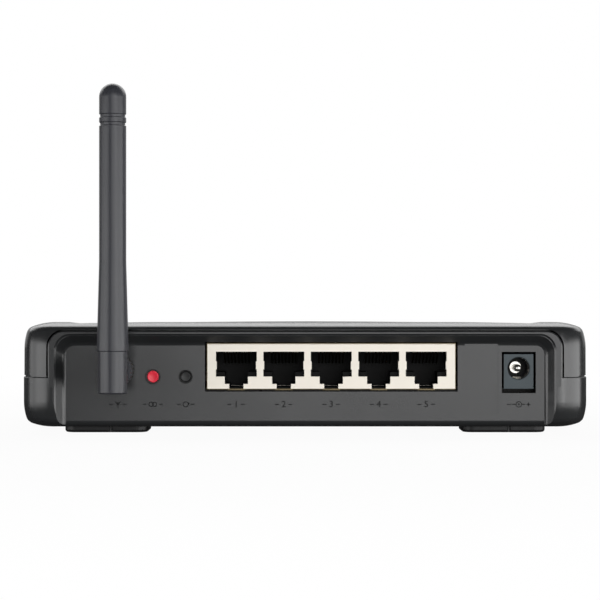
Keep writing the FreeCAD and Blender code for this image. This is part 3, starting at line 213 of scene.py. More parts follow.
class Graph:
    """One material's node tree.

    The MIX numbers are the places of a colour Mix node's sockets.
    """

    MIX_SHARE, MIX_FIRST, MIX_SECOND, MIX_RESULT = 0, 6, 7, 2

    def __init__(self, name: str) -> None:
        """Starts a material with its principled shader.

        Args:
            name: the material's name.
        """
        self.material = bpy.data.materials.new(name)
        self.material.use_nodes = True
        self.tree = self.material.node_tree
        self.shader = self.tree.nodes["Principled BSDF"]
        coordinates = self.tree.nodes.new("ShaderNodeTexCoord")
        self.place = coordinates.outputs["Object"]

    def node(
        self,
        kind: str,
        settings: Optional[dict[str, object]] = None,
        inputs: Optional[dict[object, object]] = None,
    ) -> bpy.types.Node:
        """Adds a node, sets it up and feeds its sockets.

        Args:
            kind: the node's type.
            settings: attributes of the node.
            inputs: values, signals or sockets by the input's name or number.

        Returns:
            The new node.
        """
        made = self.tree.nodes.new(kind)
        for key, value in (settings or {}).items():
            setattr(made, key, value)
        for key, value in (inputs or {}).items():
            self.feed(made.inputs[key], value)
        return made

    def feed(self, socket: bpy.types.NodeSocket, value: object) -> None:
        """Links or sets one input.

        Args:
            socket: the input.
            value: a signal, a socket, a colour or a number.
        """
        if isinstance(value, Signal):
            self.tree.links.new(value.socket, socket)
        elif isinstance(value, bpy.types.NodeSocket):
            self.tree.links.new(value, socket)
        elif isinstance(value, tuple) and socket.type == "RGBA":
            socket.default_value = (*value[:3], 1.0)
        else:
            socket.default_value = value

    def axes(self) -> tuple[Signal, Signal, Signal]:
        """The three object coordinates as signals."""
        split = self.node("ShaderNodeSeparateXYZ", inputs={0: self.place})
        return tuple(Signal(self, output) for output in split.outputs)

    def stretched(self, scale: tuple[float, float, float]) -> bpy.types.NodeSocket:
        """Object coordinates scaled along each axis.

        Args:
            scale: factor along each axis.

        Returns:
            The mapped vector.
        """
        return self.node("ShaderNodeMapping", inputs={"Vector": self.place, "Scale": scale}).outputs["Vector"]

    def noise(
        self,
        size: float,
        detail: float = 2.0,
        rough: float = 0.5,
        vector: Optional[bpy.types.NodeSocket] = None,
    ) -> Signal:
        """Cloudy noise between 0 and 1.

        Args:
            size: length of one cell in metres.
            detail: octaves.
            rough: share kept from octave to octave.
            vector: coordinates, in place of the plain ones.

        Returns:
            The noise value.
        """
        inputs = {"Vector": vector or self.place, "Scale": 1 / size, "Detail": detail, "Roughness": rough}
        made = self.node("ShaderNodeTexNoise", inputs=inputs)
        return Signal(self, made.outputs[0])

    def cells(
        self,
        size: float,
        vector: Optional[bpy.types.NodeSocket] = None,
        metric: Metric = Metric.STRAIGHT,
    ) -> Signal:
        """Distance pattern of scattered points.

        Args:
            size: mean spacing in metres.
            vector: coordinates, in place of the plain ones.
            metric: how the distance is measured.

        Returns:
            The distance value.
        """
        inputs = {"Vector": vector or self.place, "Scale": 1 / size}
        made = self.node("ShaderNodeTexVoronoi", {"distance": metric.value}, inputs)
        return Signal(self, made.outputs["Distance"])

    def blend(self, share: "Signal | Number", first: object, second: object) -> bpy.types.NodeSocket:
        """Mix of two colours.

        Args:
            share: how much of the second.
            first: colour or socket.
            second: colour or socket.

        Returns:
            The mixed colour.
        """
        inputs = {self.MIX_SHARE: share, self.MIX_FIRST: first, self.MIX_SECOND: second}
        return self.node("ShaderNodeMix", {"data_type": "RGBA"}, inputs).outputs[self.MIX_RESULT]

    def relief(
        self, height: Signal, depth: float, below: Optional[bpy.types.NodeSocket] = None
    ) -> bpy.types.NodeSocket:
        """Bump from a height between 0 and 1.

        Args:
            height: the height.
            depth: what a height of 1 stands for, in metres.
            below: normal of a coarser relief under this one.

        Returns:
            The bumped normal.
        """
        inputs = {"Height": height, "Distance": depth, "Strength": 1.0}
        if below is not None:
            inputs["Normal"] = below
        return self.node("ShaderNodeBump", inputs=inputs).outputs["Normal"]

    def surface(self, **inputs: object) -> bpy.types.Material:
        """Feeds the principled shader.

        Args:
            inputs: values by socket name, with underscores for blanks.

        Returns:
            The finished material.
        """
        for key, value in inputs.items():
            self.feed(self.shader.inputs[key.replace("_", " ")], value)
        return self.material


# ------------------------------------------------------------------ finishes


@dataclass(frozen=True)
class Moulding:
    """Injection-moulded plastic: eroded grain, faint flow marks and handling sheen.

    The grain is the fine texture of the tool, and wear is how much the raised grain has been polished.
    Past a given depth along y a piece may be painted darker, down to a given share of its colour: painted
    shade inside a bore and in the gap around a cap.
    """

    name: str
    colour: Colour
    roughness: float = 0.45
    grain_size: float = 0.35 * MM
    grain_depth: float = 0.012 * MM
    mottle: float = 0.1
    wear: float = 0.06
    coat: float = 0.0
    specular: float = 0.5
    core_from: Optional[float] = None
    core_share: float = 0.1
    core_fade: float = 0.3 * MM
    flow_size: float = 18 * MM
    flow_stretch: tuple[float, float, float] = (1.0, 2.2, 1.4)
    flow_depth: float = 0.02 * MM
    speck_spacing: float = 1.3 * MM
    speck_rim: Span = (0.16, 0.05)
    speck_patch: float = 9 * MM
    patch_rim: Span = (0.56, 0.7)
    speck_share: float = 0.18
    speck_light: float = 1.9

    def material(self) -> bpy.types.Material:
        """Builds the shader."""
        graph = Graph(self.name)
        grain = graph.noise(self.grain_size, detail=3.0, rough=0.6)
        flow = graph.noise(self.flow_size, 3.0, 0.55, vector=graph.stretched(self.flow_stretch))
        patches = graph.noise(self.speck_patch).ramp(*self.patch_rim)
        specks = graph.cells(self.speck_spacing).ramp(*self.speck_rim) * patches
        colour = graph.blend(flow, scaled(self.colour, 1 - self.mottle), scaled(self.colour, 1 + self.mottle))
        colour = graph.blend(specks * self.speck_share, colour, scaled(self.colour, self.speck_light))
        # painted shade: the colour darkens behind a given depth along y, for the shade inside a bore and
        # around a cap
        if self.core_from is not None:
            _, along, _ = graph.axes()
            depth = along.ramp(self.core_from, self.core_from + self.core_fade)
            colour = graph.blend(depth, colour, scaled(self.colour, self.core_share))
        rough = self.roughness + (flow - 0.5) * self.wear * 2 + (grain - 0.5) * self.wear
        return graph.surface(
            Base_Color=colour,
            Roughness=rough,
            Normal=graph.relief(grain, self.grain_depth, graph.relief(flow, self.flow_depth)),
            Coat_Weight=self.coat,
            Specular_IOR_Level=self.specular,
        )


@dataclass(frozen=True)
class Plate:
    """Bare or plated metal: fine drawn lines, tarnish clouds and small scratches."""

    name: str
    colour: Colour
    roughness: float = 0.28
    lines: tuple[float, float, float] = (1.0, 12.0, 12.0)
    tarnish: float = 0.12
    line_size: float = 0.4 * MM
    line_depth: float = 0.004 * MM
    line_wear: float = 0.16
    cloud_size: float = 3.0 * MM
    cloud_wear: float = 0.12

    def material(self) -> bpy.types.Material:
        """Builds the shader."""
        graph = Graph(self.name)
        drawn = graph.noise(self.line_size, 2.0, 0.6, vector=graph.stretched(self.lines))
        cloud = graph.noise(self.cloud_size, detail=3.0, rough=0.6)
        colour = graph.blend(cloud, scaled(self.colour, 1 - self.tarnish), self.colour)
        rough = self.roughness + (drawn - 0.5) * self.line_wear + (cloud - 0.5) * self.cloud_wear
        normal = graph.relief(drawn, self.line_depth)
        return graph.surface(Base_Color=colour, Roughness=rough, Metallic=1.0, Normal=normal)


@dataclass(frozen=True)
class Resin:
    """Clear or tinted moulded resin with faint clouding."""

    name: str
    colour: Colour
    clearness: float = 0.85
    roughness: float = 0.12
    index: float = 1.49
    cloud_size: float = 1.6 * MM
    cloud_shade: float = 0.9
    cloud_wear: float = 0.08
    cloud_depth: float = 0.004 * MM

    def material(self) -> bpy.types.Material:
        """Builds the shader."""
        graph = Graph(self.name)
        cloud = graph.noise(self.cloud_size)
        return graph.surface(
            Base_Color=graph.blend(cloud, scaled(self.colour, self.cloud_shade), self.colour),
            Roughness=self.roughness + (cloud - 0.5) * self.cloud_wear,
            Normal=graph.relief(cloud, self.cloud_depth),
            Transmission_Weight=self.clearness,
            IOR=self.index,
        )


@dataclass(frozen=True)
class Lacquer:
    """Board lacquer: copper tracks under a tinted film, plated spots, and a near-black edge: bare laminate,
    darkened as painted shade.

    The layers are the heights of the board's two faces.
    """

    name: str
    colour: Colour
    layers: Span
    track_pitch: float = 1.9 * MM
    track_rise: Span = (0.22, 0.3)
    track_fall: Span = (0.5, 0.58)
    track_light: float = 1.9
    bend_size: float = 14 * MM
    bend_turns: float = 9.0
    bend_reach: float = 0.5 * MM
    spot_spacing: float = 4.2 * MM
    spot_rim: Span = (0.13, 0.1)
    spot_colour: Colour = tone(190, 185, 168)
    edge_colour: Colour = tone(14, 12, 10)
    edge_inset: float = 0.05 * MM
    copper_depth: float = 0.03 * MM
    spot_height: float = 0.6
    spot_metal: float = 0.8
    roughness: float = 0.32
    spot_wear: float = 0.12
    cloud_size: float = 6 * MM
    cloud_wear: float = 0.08
    specular: float = 0.15

    def material(self) -> bpy.types.Material:
        """Builds the shader."""
        graph = Graph(self.name)
        x, y, z = graph.axes()
        flat = graph.stretched((1.0, 1.0, 0.0))
        bends = (graph.cells(self.bend_size, flat, Metric.STEPPED) * self.bend_turns).wave() * self.bend_reach
        lines = ((x + y + bends) / self.track_pitch).fraction()
        tracks = lines.ramp(*self.track_rise) * (1 - lines.ramp(*self.track_fall))
        spots = graph.cells(self.spot_spacing, flat).ramp(*self.spot_rim)
        # painted shade: the board's side faces are near black, bare laminate darkened for the shade in the
        # gaps under the sockets
        edge = (z > self.layers[0] + self.edge_inset) * (z < self.layers[1] - self.edge_inset)
        colour = graph.blend(tracks, self.colour, scaled(self.colour, self.track_light))
        colour = graph.blend(spots, colour, self.spot_colour)
        cloud = graph.noise(self.cloud_size)
        return graph.surface(
            Base_Color=graph.blend(edge, colour, self.edge_colour),
            Roughness=self.roughness + spots * self.spot_wear + cloud * self.cloud_wear,
            Normal=graph.relief(tracks + spots * self.spot_height, self.copper_depth),
            Metallic=spots * self.spot_metal,
            Specular_IOR_Level=self.specular,
        )


@dataclass(frozen=True)
class Elastomer:
    """Soft rubber with a dusty bloom and tiny pits."""

    name: str
    colour: Colour
    roughness: float = 0.5
    specular: float = 0.5
    bloom_size: float = 2.5 * MM
    bloom_rim: Span = (0.4, 0.8)
    bloom_share: float = 0.5
    bloom_light: float = 2.1
    bloom_wear: float = 0.2
    bloom_depth: float = 0.03 * MM
    pit_spacing: float = 0.7 * MM
    pit_rim: Span = (0.3, 0.1)
    pit_share: float = 0.5
    pit_wear: float = 0.1
    pit_depth: float = 0.02 * MM

    def material(self) -> bpy.types.Material:
        """Builds the shader."""
        graph = Graph(self.name)
        bloom = graph.noise(self.bloom_size, detail=4.0, rough=0.65)
        pits = graph.cells(self.pit_spacing).ramp(*self.pit_rim)
        dust = bloom.ramp(*self.bloom_rim) * self.bloom_share
        coarse = graph.relief(bloom, self.bloom_depth)
        return graph.surface(
            Base_Color=graph.blend(dust, self.colour, scaled(self.colour, self.bloom_light)),
            Roughness=self.roughness + bloom * self.bloom_wear + pits * self.pit_wear,
            Normal=graph.relief(1 - pits * self.pit_share, self.pit_depth, coarse),
            Specular_IOR_Level=self.specular,
        )


@dataclass(frozen=True)
class BlankFilm:
    """Blank printed film: pale field with a thin ruled border, a rule down its middle and fibre grain."""

    name: str
    colour: Colour
    ink: Colour
    box: tuple[float, float, float, float]
    border: Span = (1.2 * MM, 1.5 * MM)
    rule_half: float = 0.3 * MM
    fibre_size: float = 0.6 * MM
    fibre_shade: float = 0.93
    fibre_wear: float = 0.15
    fibre_depth: float = 0.006 * MM
    roughness: float = 0.42

    def material(self) -> bpy.types.Material:
        """Builds the shader."""
        graph = Graph(self.name)
        x, y, _ = graph.axes()
        left, right, rear, front = self.box
        inward = (x - left).least(right - x).least((y - rear).least(front - y))
        frame_line = (inward > self.border[0]) * (inward < self.border[1])
        off_middle = x - (left + right) / 2
        rule = (off_middle < self.rule_half) * (off_middle > -self.rule_half) * (inward > self.border[1])
        fibre = graph.noise(self.fibre_size, detail=3.0, rough=0.6)
        paper = graph.blend(fibre, scaled(self.colour, self.fibre_shade), self.colour)
        return graph.surface(
            Base_Color=graph.blend(frame_line.most(rule), paper, self.ink),
            Roughness=self.roughness + fibre * self.fibre_wear,
            Normal=graph.relief(fibre, self.fibre_depth),
        )


class Palette:
    """The finish of every material slot."""

    def __init__(self) -> None:
        """Names each finish once, with the places that some of them depend on."""
        label_low, label_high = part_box("rating_label")
        board_low, board_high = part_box("main_board")
        # depths along y where the painted shade inside the power socket and behind the button caps begins
        jack_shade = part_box("dc_jack_body")[0][1] + 0.05 * MM
        cap_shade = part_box("reset_button")[0][1] + 0.1 * MM
        finishes = (
            Moulding("case_plastic", tone(41, 42, 43), 0.25, wear=0.05),
            Moulding("gloss_black", tone(14, 14, 16), 0.09, grain_depth=0.0006 * MM, wear=0.02, coat=0.6),
            Resin("clear_plastic", tone(226, 232, 232)),
            Plate("steel", tone(176, 176, 172), 0.32),
            BlankFilm(
                "label_film",
                tone(202, 202, 200),
                tone(70, 70, 72),
                (label_low[0], label_high[0], label_low[1], label_high[1]),
            ),
            Lacquer("board", tone(22, 74, 44), (board_low[2], board_high[2])),
            Moulding(
                "ivory_plastic", tone(252, 245, 232), 0.38, grain_depth=0.003 * MM, mottle=0.025, wear=0.05
            ),
            Moulding("black_moulding", tone(4, 4, 4), 0.5, grain_depth=0.006 * MM, specular=0.12),
            # painted shade: the contacts are far darker than gold plating, for the shade deep inside the
            # sockets
            Plate("gold_contact", tone(52, 44, 32), 0.5),
            Plate("nickel", tone(250, 247, 240), 0.3, tarnish=0.05),
            Resin("led_lens", tone(232, 238, 216), 0.4),
            Moulding("white_insulator", tone(232, 231, 226), 0.4, mottle=0.02),
            Moulding(
                "antenna_plastic", tone(55, 56, 61), 0.33, grain_depth=0.008 * MM, wear=0.05, specular=0.39
            ),
            Moulding("cable_jacket", tone(34, 34, 37), 0.4, grain_depth=0.004 * MM),
            Plate("brass", tone(120, 108, 84), 0.42, tarnish=0.5),
            Moulding(
                "jack_moulding",
                tone(76, 84, 88),
                0.42,
                grain_depth=0.006 * MM,
                specular=0.2,
                # painted shade: the socket's bore goes near black behind its face
                core_from=jack_shade,
                core_share=0.02,
            ),
            Moulding(
                "red_cap",
                tone(255, 46, 70),
                0.32,
                grain_depth=0.003 * MM,
                mottle=0.05,
                # painted shade: the cap's sides and flange go near black behind its face
                core_from=cap_shade,
                core_share=0.02,
            ),
            Moulding(
                "black_cap",
                tone(28, 29, 29),
                0.45,
                grain_depth=0.004 * MM,
                # painted shade: the cap's sides and flange go near black behind its face
                core_from=cap_shade,
                core_share=0.02,
            ),
            # painted shade: the raised marks are darker than the panel around them, standing for the shading
            # of their relief
            Moulding("mark_painted_shade", tone(18, 19, 20), 0.5, grain_depth=0.004 * MM, specular=0.3),
            Plate("dull_nickel", tone(72, 70, 56), 0.5, tarnish=0.5),
            Elastomer("foot_rubber", tone(20, 20, 21), 0.3, 0.3),
            Plate("aluminium", tone(200, 202, 204), 0.36, (12.0, 1.0, 12.0)),
            Moulding("capacitor_sleeve", tone(26, 34, 66), 0.25, grain_depth=0.002 * MM),
            Elastomer("ferrite", tone(70, 70, 72), 0.6),
        )
        self.finishes = {finish.name: finish for finish in finishes}
        self._made: dict[str, bpy.types.Material] = {}

    def __getitem__(self, slot: str) -> bpy.types.Material:
        """Material of a slot, built when first asked for.

        Args:
            slot: the slot's name.

        Returns:
            The material.
        """
        if slot not in self._made:
            self._made[slot] = self.finishes[slot].material()
        return self._made[slot]


# ------------------------------------------------------------------ geometry helpers


class Body(Enum):
    """The rigid group that the new pieces ride on."""

    CASE = "case"


class Side(Enum):
    """Which way a mirrored stroke lies from the middle of its sign."""

    LEFT = -1
    RIGHT = 1


class Piece:
    """A new mesh piece under construction.

    MERGE is how near two vertices lie when they become one. SLOPE is how far a ring's front edges slope in,
    as a share of its height. BEVEL_STEPS is the number of segments in a bar's rounded edges.
    """

    MERGE = 0.0001 * MM
    SLOPE = 0.4
    BEVEL_STEPS = 2

    def __init__(self, name: str) -> None:
        """Starts an empty piece.

        Args:
            name: the object's name.
        """
        self.name = name
        self.bm = bmesh.new()

    def merge(self) -> None:
        """Joins vertices that lie in one place."""
        bmesh.ops.remove_doubles(self.bm, verts=self.bm.verts, dist=self.MERGE)

    def bar(self, centre: Vector, size: Vector, bevel: float, turn: float) -> None:
        """Adds a box, turned in the panel's plane and bevelled.

        Args:
            centre: middle of the box.
            size: lengths along x, y and z.
            bevel: width of its rounded edges.
            turn: angle about the y axis.
        """
        place = Matrix.Translation(centre) @ Matrix.Rotation(turn, 4, "Y") @ Matrix.Diagonal((*size, 1.0))
        made = bmesh.ops.create_cube(self.bm, size=1.0, matrix=place)
        edges = list({edge for vert in made["verts"] for edge in vert.link_edges})
        bmesh.ops.bevel(
            self.bm,
            geom=edges,
            offset=bevel,
            segments=self.BEVEL_STEPS,
            profile=0.5,
            affect="EDGES",
            material=-1,
        )

    def ring(self, centre: Vector, outer: float, inner: float, height: float, steps: int = 40) -> None:
        """Adds a flat ring or disc that faces along the y axis, with its front edges sloped.

        Args:
            centre: middle of its back face.
            outer: outer radius.
            inner: inner radius, or 0 for a disc.
            height: how far it stands out towards -y.
            steps: sides of the circle.
        """
        slope = height * self.SLOPE
        section = (
            Vector((inner, 0.0, 0.0)),
            Vector((outer, 0.0, 0.0)),
            Vector((outer - slope, -height, 0.0)),
            Vector((inner + slope if inner else 0.0, -height, 0.0)),
        )
        face = self.bm.faces.new([self.bm.verts.new(centre + point) for point in section])
        bmesh.ops.spin(
            self.bm,
            geom=[face],
            cent=centre,
            axis=(0.0, 1.0, 0.0),
            angle=2 * math.pi,
            steps=steps,
            use_merge=True,
        )
        self.merge()

    def finish(self, material: bpy.types.Material, body: Body, slot: str) -> bpy.types.Object:
        """Turns the piece into a flat-shaded object on its body.

        Args:
            material: its finish.
            body: the rigid group it moves with.
            slot: the record's material slot; not used.

        Returns:
            The object.
        """
        bmesh.ops.recalc_face_normals(self.bm, faces=self.bm.faces)
        mesh = bpy.data.meshes.new(self.name)
        self.bm.to_mesh(mesh)
        self.bm.free()
        for polygon in mesh.polygons:
            polygon.use_smooth = False
        mesh.materials.append(material)
        made = bpy.data.objects.new(self.name, mesh)
        bpy.context.scene.collection.objects.link(made)
        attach(made, body.value)
        return made


# ------------------------------------------------------------------ sub-assemblies


@dataclass
class Shell:
    """The CAD model's own pieces, dressed in the slot's finish."""

    palette: Palette

    def dress(self) -> int:
        """Gives every CAD piece its finish; the antenna socket's washer and nut get a duller one.

        Returns:
            How many pieces were dressed.
        """
        slots = {part["node"]: part["material_slot"] for part in frame["record"]["subparts"]}
        finishes = {**slots, "socket_washer": "dull_nickel", "socket_jam_nut": "dull_nickel"}
        for node, piece in frame["nodes"].items():
            piece.data.materials.clear()
            piece.data.materials.append(self.palette[finishes[node]])
        return len(slots)


@dataclass(frozen=True)
class PlugSign:
    """Power plug polarity sign.

    The ring's radius is a share of the marks' height, and the dot's is a share of the stroke. The rest are
    shares of the ring's radius.
    """

    radius: float = 0.5
    dot: float = 1.1
    dot_steps: int = 24
    lead: float = 1.5
    pole: float = 3.0
    pole_length: float = 1.2


@dataclass(frozen=True)
class MastSign:
    """Antenna sign: a mast and the two arms of a V, as shares of the marks' height."""

    mast_drop: float = 0.1
    mast_length: float = 0.9
    arm_out: float = 0.22
    arm_up: float = 0.2
    arm_length: float = 0.62
    arm_turn: float = math.radians(50)


@dataclass(frozen=True)
class LinkSign:
    """Pairing sign: the rings' places as shares of their radius, the rest as shares of the marks' height."""

    radius: float = 0.42
    ring_out: float = 0.62
    dash_out: float = 1.3
    dash_length: float = 0.5


@dataclass(frozen=True)
class ArrowSign:
    """Reset sign: a ring with an arrow head.

    The ring's radius is a share of the marks' height. The head's place and length are shares of that radius,
    and the turns of its two strokes are in radians.
    """

    radius: float = 0.48
    head_out: float = 0.95
    head_up: float = 0.3
    head_length: float = 0.7
    head_turns: Span = (0.6, -0.9)


@dataclass
class PanelMarks:
    """Raised numerals and signs under the sockets and buttons, in the panel's own plastic, coloured darker as
    painted shade for their relief.
    """

    palette: Palette
    height: float = 1.9 * MM
    relief: float = 0.12 * MM
    below_sockets: float = 4.6 * MM
    stroke: float = 0.3 * MM
    stroke_round: float = 0.04 * MM
    sink: float = 0.05 * MM
    type_scale: float = 1.4
    type_round: float = 0.03 * MM
    dash_out: float = 1.05
    dash_length: float = 0.62
    plug: PlugSign = PlugSign()
    mast: MastSign = MastSign()
    link: LinkSign = LinkSign()
    arrow: ArrowSign = ArrowSign()
    level: float = field(init=False)
    face: float = field(init=False)
    names: list[str] = field(default_factory=list)

    def build(self) -> list[str]:
        """Builds all the marks.

        Returns:
            The names of the new pieces.
        """
        housing_low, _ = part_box("lan_housing")
        self.level = housing_low[2] - self.below_sockets
        self.face = panel_face()
        for number, centre in enumerate(self._socket_centres(), start=1):
            self._numeral(f"mark_socket_{number}", str(number), centre)
        self._polarity("mark_power", middle_across("dc_jack_body"))
        self._aerial("mark_antenna", middle_across("antenna_nut"))
        self._rings("mark_pairing", middle_across("pairing_button"))
        self._restart("mark_reset", middle_across("reset_button"))
        return self.names

    def _socket_centres(self) -> list[float]:
        """Centres of the sockets along x, from the record's mounts."""
        mounts = frame["record"]["mounts"]
        return sorted(mount["pos_m"][0] for mount in mounts if mount["name"].startswith("port_socket"))

    def _add(self, piece: Piece) -> None:
        """Finishes one mark.

        Args:
            piece: the mark's mesh.
        """
        # the marks' darker colour is painted shade
        piece.finish(self.palette["mark_painted_shade"], Body.CASE, "case_plastic")
        self.names.append(piece.name)

    def _numeral(self, name: str, text: str, x: float) -> None:
        """A raised numeral between two dashes.

        Args:
            name: the piece's name.
            text: the digit.
            x: its middle.
        """
        curve = bpy.data.curves.new(name + "_curve", "FONT")
        curve.body = text
        curve.size = self.height * self.type_scale
        curve.extrude = (self.relief + self.sink) / 2
        curve.bevel_depth = self.type_round
        curve.bevel_resolution = 1
        curve.resolution_u = 3
        curve.align_x = "CENTER"
        curve.align_y = "CENTER"
        holder = bpy.data.objects.new(name + "_curve", curve)
        bpy.context.scene.collection.objects.link(holder)
        bpy.context.view_layer.update()
        mesh = bpy.data.meshes.new_from_object(holder.evaluated_get(bpy.context.evaluated_depsgraph_get()))
        bpy.data.objects.remove(holder)
        piece = Piece(name)
        piece.bm.from_mesh(mesh)
        bpy.data.meshes.remove(mesh)
        piece.merge()
        place = Matrix.Translation((x, self._mid_relief(), self.level)) @ Matrix.Rotation(math.pi / 2, 4, "X")
        bmesh.ops.transform(piece.bm, matrix=place, verts=piece.bm.verts)
        self._dashes(piece, x, self.dash_out, self.dash_length)
        self._add(piece)

    def _mid_relief(self) -> float:
        """Middle along y of what stands on the panel and sinks into it."""
        return self.face - (self.relief - self.sink) / 2

    def _dashes(self, piece: Piece, x: float, out: float, length: float) -> None:
        """A short level stroke on each side of a mark.

        Args:
            piece: the mark being made.
            x: the mark's middle across.
            out: each stroke's middle from there, as a share of the marks' height.
            length: its length, as a share of the marks' height.
        """
        for side in Side:
            self._stroke(piece, x + side.value * self.height * out, self.level, self.height * length, 0.0)

    def _stroke(self, piece: Piece, x: float, z: float, length: float, turn: float) -> None:
        """A raised straight stroke.

        Args:
            piece: the mark being made.
            x: its middle across.
            z: its middle in height.
            length: its length.
            turn: its angle, 0 lying level.
        """
        size = Vector((length, self.relief + self.sink, self.stroke))
        piece.bar(Vector((x, self._mid_relief(), z)), size, self.stroke_round, turn)

    def _ring(self, piece: Piece, x: float, radius: float) -> None:
        """A raised ring at the marks' level.

        Args:
            piece: the mark being made.
            x: its middle across.
            radius: its outer radius.
        """
        centre = Vector((x, self.face + self.sink, self.level))
        piece.ring(centre, radius, radius - self.stroke, self.relief + self.sink)

    def _polarity(self, name: str, x: float) -> None:
        """Power plug polarity sign: ring, dot and two leads with their signs.

        Args:
            name: the piece's name.
            x: its middle across.
        """
        piece = Piece(name)
        reach = self.height * self.plug.radius
        self._ring(piece, x, reach)
        middle = Vector((x, self.face + self.sink, self.level))
        piece.ring(middle, self.stroke * self.plug.dot, 0.0, self.relief + self.sink, self.plug.dot_steps)
        for side in Side:
            self._stroke(piece, x + side.value * reach * self.plug.lead, self.level, reach, 0.0)
            pole = x + side.value * reach * self.plug.pole
            self._stroke(piece, pole, self.level, reach * self.plug.pole_length, 0.0)
            if side is Side.RIGHT:
                self._stroke(piece, pole, self.level, reach * self.plug.pole_length, math.pi / 2)
        self._add(piece)

    def _aerial(self, name: str, x: float) -> None:
        """Antenna sign: a mast under a V, between two dashes.

        Args:
            name: the piece's name.
            x: its middle across.
        """
        piece = Piece(name)
        sign = self.mast
        mast_level = self.level - self.height * sign.mast_drop
        self._stroke(piece, x, mast_level, self.height * sign.mast_length, math.pi / 2)
        for side in Side:
            arm_x = x + side.value * self.height * sign.arm_out
            arm_level = self.level + self.height * sign.arm_up
            self._stroke(piece, arm_x, arm_level, self.height * sign.arm_length, -side.value * sign.arm_turn)
        self._dashes(piece, x, self.dash_out, self.dash_length)
        self._add(piece)

    def _rings(self, name: str, x: float) -> None:
        """Pairing sign: two linked rings between two dashes.

        Args:
            name: the piece's name.
            x: its middle across.
        """
        piece = Piece(name)
        reach = self.height * self.link.radius
        for side in Side:
            self._ring(piece, x + side.value * reach * self.link.ring_out, reach)
        self._dashes(piece, x, self.link.dash_out, self.link.dash_length)
        self._add(piece)

    def _restart(self, name: str, x: float) -> None:
        """Reset sign: a ring with an arrow head, between two dashes.

        Args:
            name: the piece's name.
            x: its middle across.
        """
        piece = Piece(name)
        sign = self.arrow
        reach = self.height * sign.radius
        self._ring(piece, x, reach)
        for turn in sign.head_turns:
            head_level = self.level + reach * sign.head_up
            self._stroke(piece, x + reach * sign.head_out, head_level, reach * sign.head_length, turn)
        self._dashes(piece, x, self.dash_out, self.dash_length)
        self._add(piece)


# ------------------------------------------------------------------ studio


@dataclass(frozen=True)
class Lamp:
    """A soft rectangular light."""

    name: str
    place: tuple[float, float, float]
    size: Span
    power: float

    def build(self, aim: Vector) -> None:
        """Adds the light.

        Args:
            aim: the point that it faces.
        """
        data = bpy.data.lights.new(self.name, "AREA")
        data.shape = "RECTANGLE"
        data.size, data.size_y = self.size
        data.energy = self.power
        made = bpy.data.objects.new(self.name, data)
        made.location = self.place
        made.rotation_euler = (aim - Vector(self.place)).to_track_quat("-Z", "Y").to_euler()
        made.visible_camera = False
        bpy.context.scene.collection.objects.link(made)


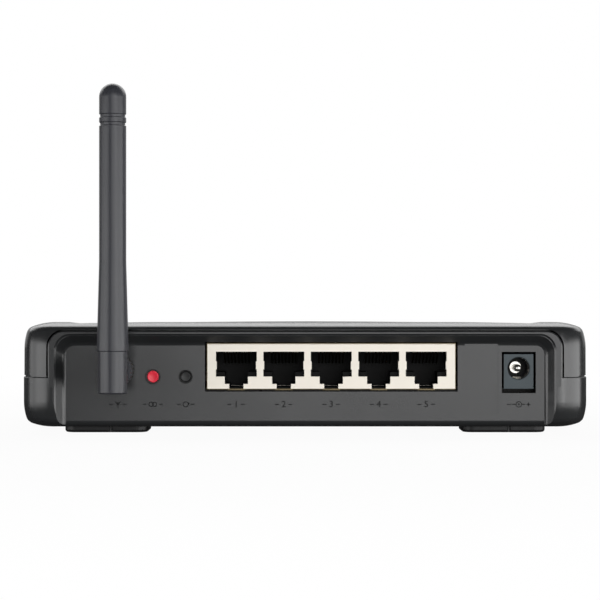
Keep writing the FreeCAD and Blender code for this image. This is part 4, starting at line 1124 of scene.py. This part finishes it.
@dataclass
class Studio:
    """Pale floor, pale surround, lights and camera."""

    floor_half: float = 2.6
    floor_tone: float = 0.92
    floor_glow: float = 0.95
    floor_fade: Span = (0.1, 0.4)
    surround_rounds: int = 4
    lens: float = 122.4
    sensor: float = 36.0
    distance: float = 600 * MM
    eye_height: float = 39.4 * MM
    eye_side: float = -1.5 * MM
    nearest: float = 10 * MM
    world_level: float = 0.03
    aim: tuple[float, float, float] = (0.0, -0.03, 0.03)
    lamps: tuple[Lamp, ...] = (
        Lamp("backdrop_low", (0.0, 1.4, 0.31), (4.0, 0.6), 4.5),
        Lamp("backdrop_high", (0.0, 0.89, 0.85), (3.4, 0.8), 22.0),
        Lamp("right_side", (0.75, -0.43, 0.03), (1.3, 0.32), 5.9),
        Lamp("left_side", (-0.77, -0.38, 0.03), (1.25, 0.32), 2.9),
        Lamp("left_front", (-0.68, -0.57, 0.05), (0.6, 0.3), 0.85),
        Lamp("front_fill", (0.31, -1.3, 0.2), (1.0, 0.8), 7.0),
    )

    def build(self) -> None:
        """Sets up all that stands around the router: floor, surround, lamps and camera."""
        self._floor()
        self._surround()
        self._world()
        for lamp in self.lamps:
            lamp.build(Vector(self.aim))
        self._camera()
        bpy.context.scene.view_settings.view_transform = "Standard"

    def _stage(self, name: str, bm: bmesh.types.BMesh, material: bpy.types.Material) -> bpy.types.Object:
        """Adds a stage object.

        Args:
            name: its name.
            bm: its mesh, which is freed.
            material: its finish.

        Returns:
            The object.
        """
        mesh = bpy.data.meshes.new(name)
        bm.to_mesh(mesh)
        bm.free()
        mesh.materials.append(material)
        made = bpy.data.objects.new(name, mesh)
        bpy.context.scene.collection.objects.link(made)
        made.visible_diffuse = False
        made.visible_glossy = False
        made.visible_shadow = False
        return made

    def _floor(self) -> None:
        """White floor that fades into the surround."""
        graph = Graph("floor_white")
        x, y, _ = graph.axes()
        reach = (x * x + y * y) ** 0.5
        glow_share = self.floor_glow + reach.ramp(*self.floor_fade) * (1 - self.floor_glow)
        diffuse = graph.node("ShaderNodeBsdfDiffuse", inputs={"Color": (self.floor_tone,) * 3})
        mixed = graph.node(
            "ShaderNodeMixShader", inputs={0: glow_share, 1: diffuse.outputs[0], 2: self._glow(graph)}
        )
        self._finish(graph, mixed.outputs[0])
        bm = bmesh.new()
        bmesh.ops.create_grid(bm, x_segments=1, y_segments=1, size=self.floor_half)
        self._stage("floor", bm, graph.material)

    def _surround(self) -> None:
        """White surround."""
        graph = Graph("surround_white")
        self._finish(graph, self._glow(graph))
        bm = bmesh.new()
        bmesh.ops.create_icosphere(bm, subdivisions=self.surround_rounds, radius=self.floor_half)
        bmesh.ops.reverse_faces(bm, faces=bm.faces)
        self._stage("surround", bm, graph.material)

    def _glow(self, graph: Graph) -> bpy.types.NodeSocket:
        """Plain white emission.

        Args:
            graph: the material that it belongs to.

        Returns:
            The shader socket.
        """
        return graph.node("ShaderNodeEmission", inputs={"Color": (1.0, 1.0, 1.0), "Strength": 1.0}).outputs[0]

    def _finish(self, graph: Graph, surface: bpy.types.NodeSocket) -> None:
        """Links a shader to its material's output.

        Args:
            graph: the material.
            surface: the shader socket.
        """
        graph.tree.links.new(surface, graph.tree.nodes["Material Output"].inputs["Surface"])

    def _world(self) -> None:
        """Low even fill."""
        world = bpy.data.worlds.new("studio_fill")
        world.use_nodes = True
        background = world.node_tree.nodes["Background"]
        background.inputs["Color"].default_value = (1.0, 1.0, 1.0, 1.0)
        background.inputs["Strength"].default_value = self.world_level
        bpy.context.scene.world = world

    def _camera(self) -> None:
        """Long-lens camera, level, facing the sockets."""
        data = bpy.data.cameras.new("camera")
        data.lens = self.lens
        data.sensor_width = self.sensor
        data.clip_start = self.nearest
        made = bpy.data.objects.new("camera", data)
        made.location = (self.eye_side, panel_face() - self.distance, self.eye_height)
        made.rotation_euler = (math.pi / 2, 0.0, 0.0)
        bpy.context.scene.collection.objects.link(made)
        bpy.context.scene.camera = made


def main() -> None:
    """Builds the scene in order."""
    logging.basicConfig(level=logging.INFO, format="%(message)s")
    palette = Palette()
    LOG.info("dressed %d modelled pieces", Shell(palette).dress())
    for name in PanelMarks(palette).build():
        LOG.info("built %s", name)
    Studio().build()
    LOG.info("studio ready")


if __name__ == "__main__":
    main()
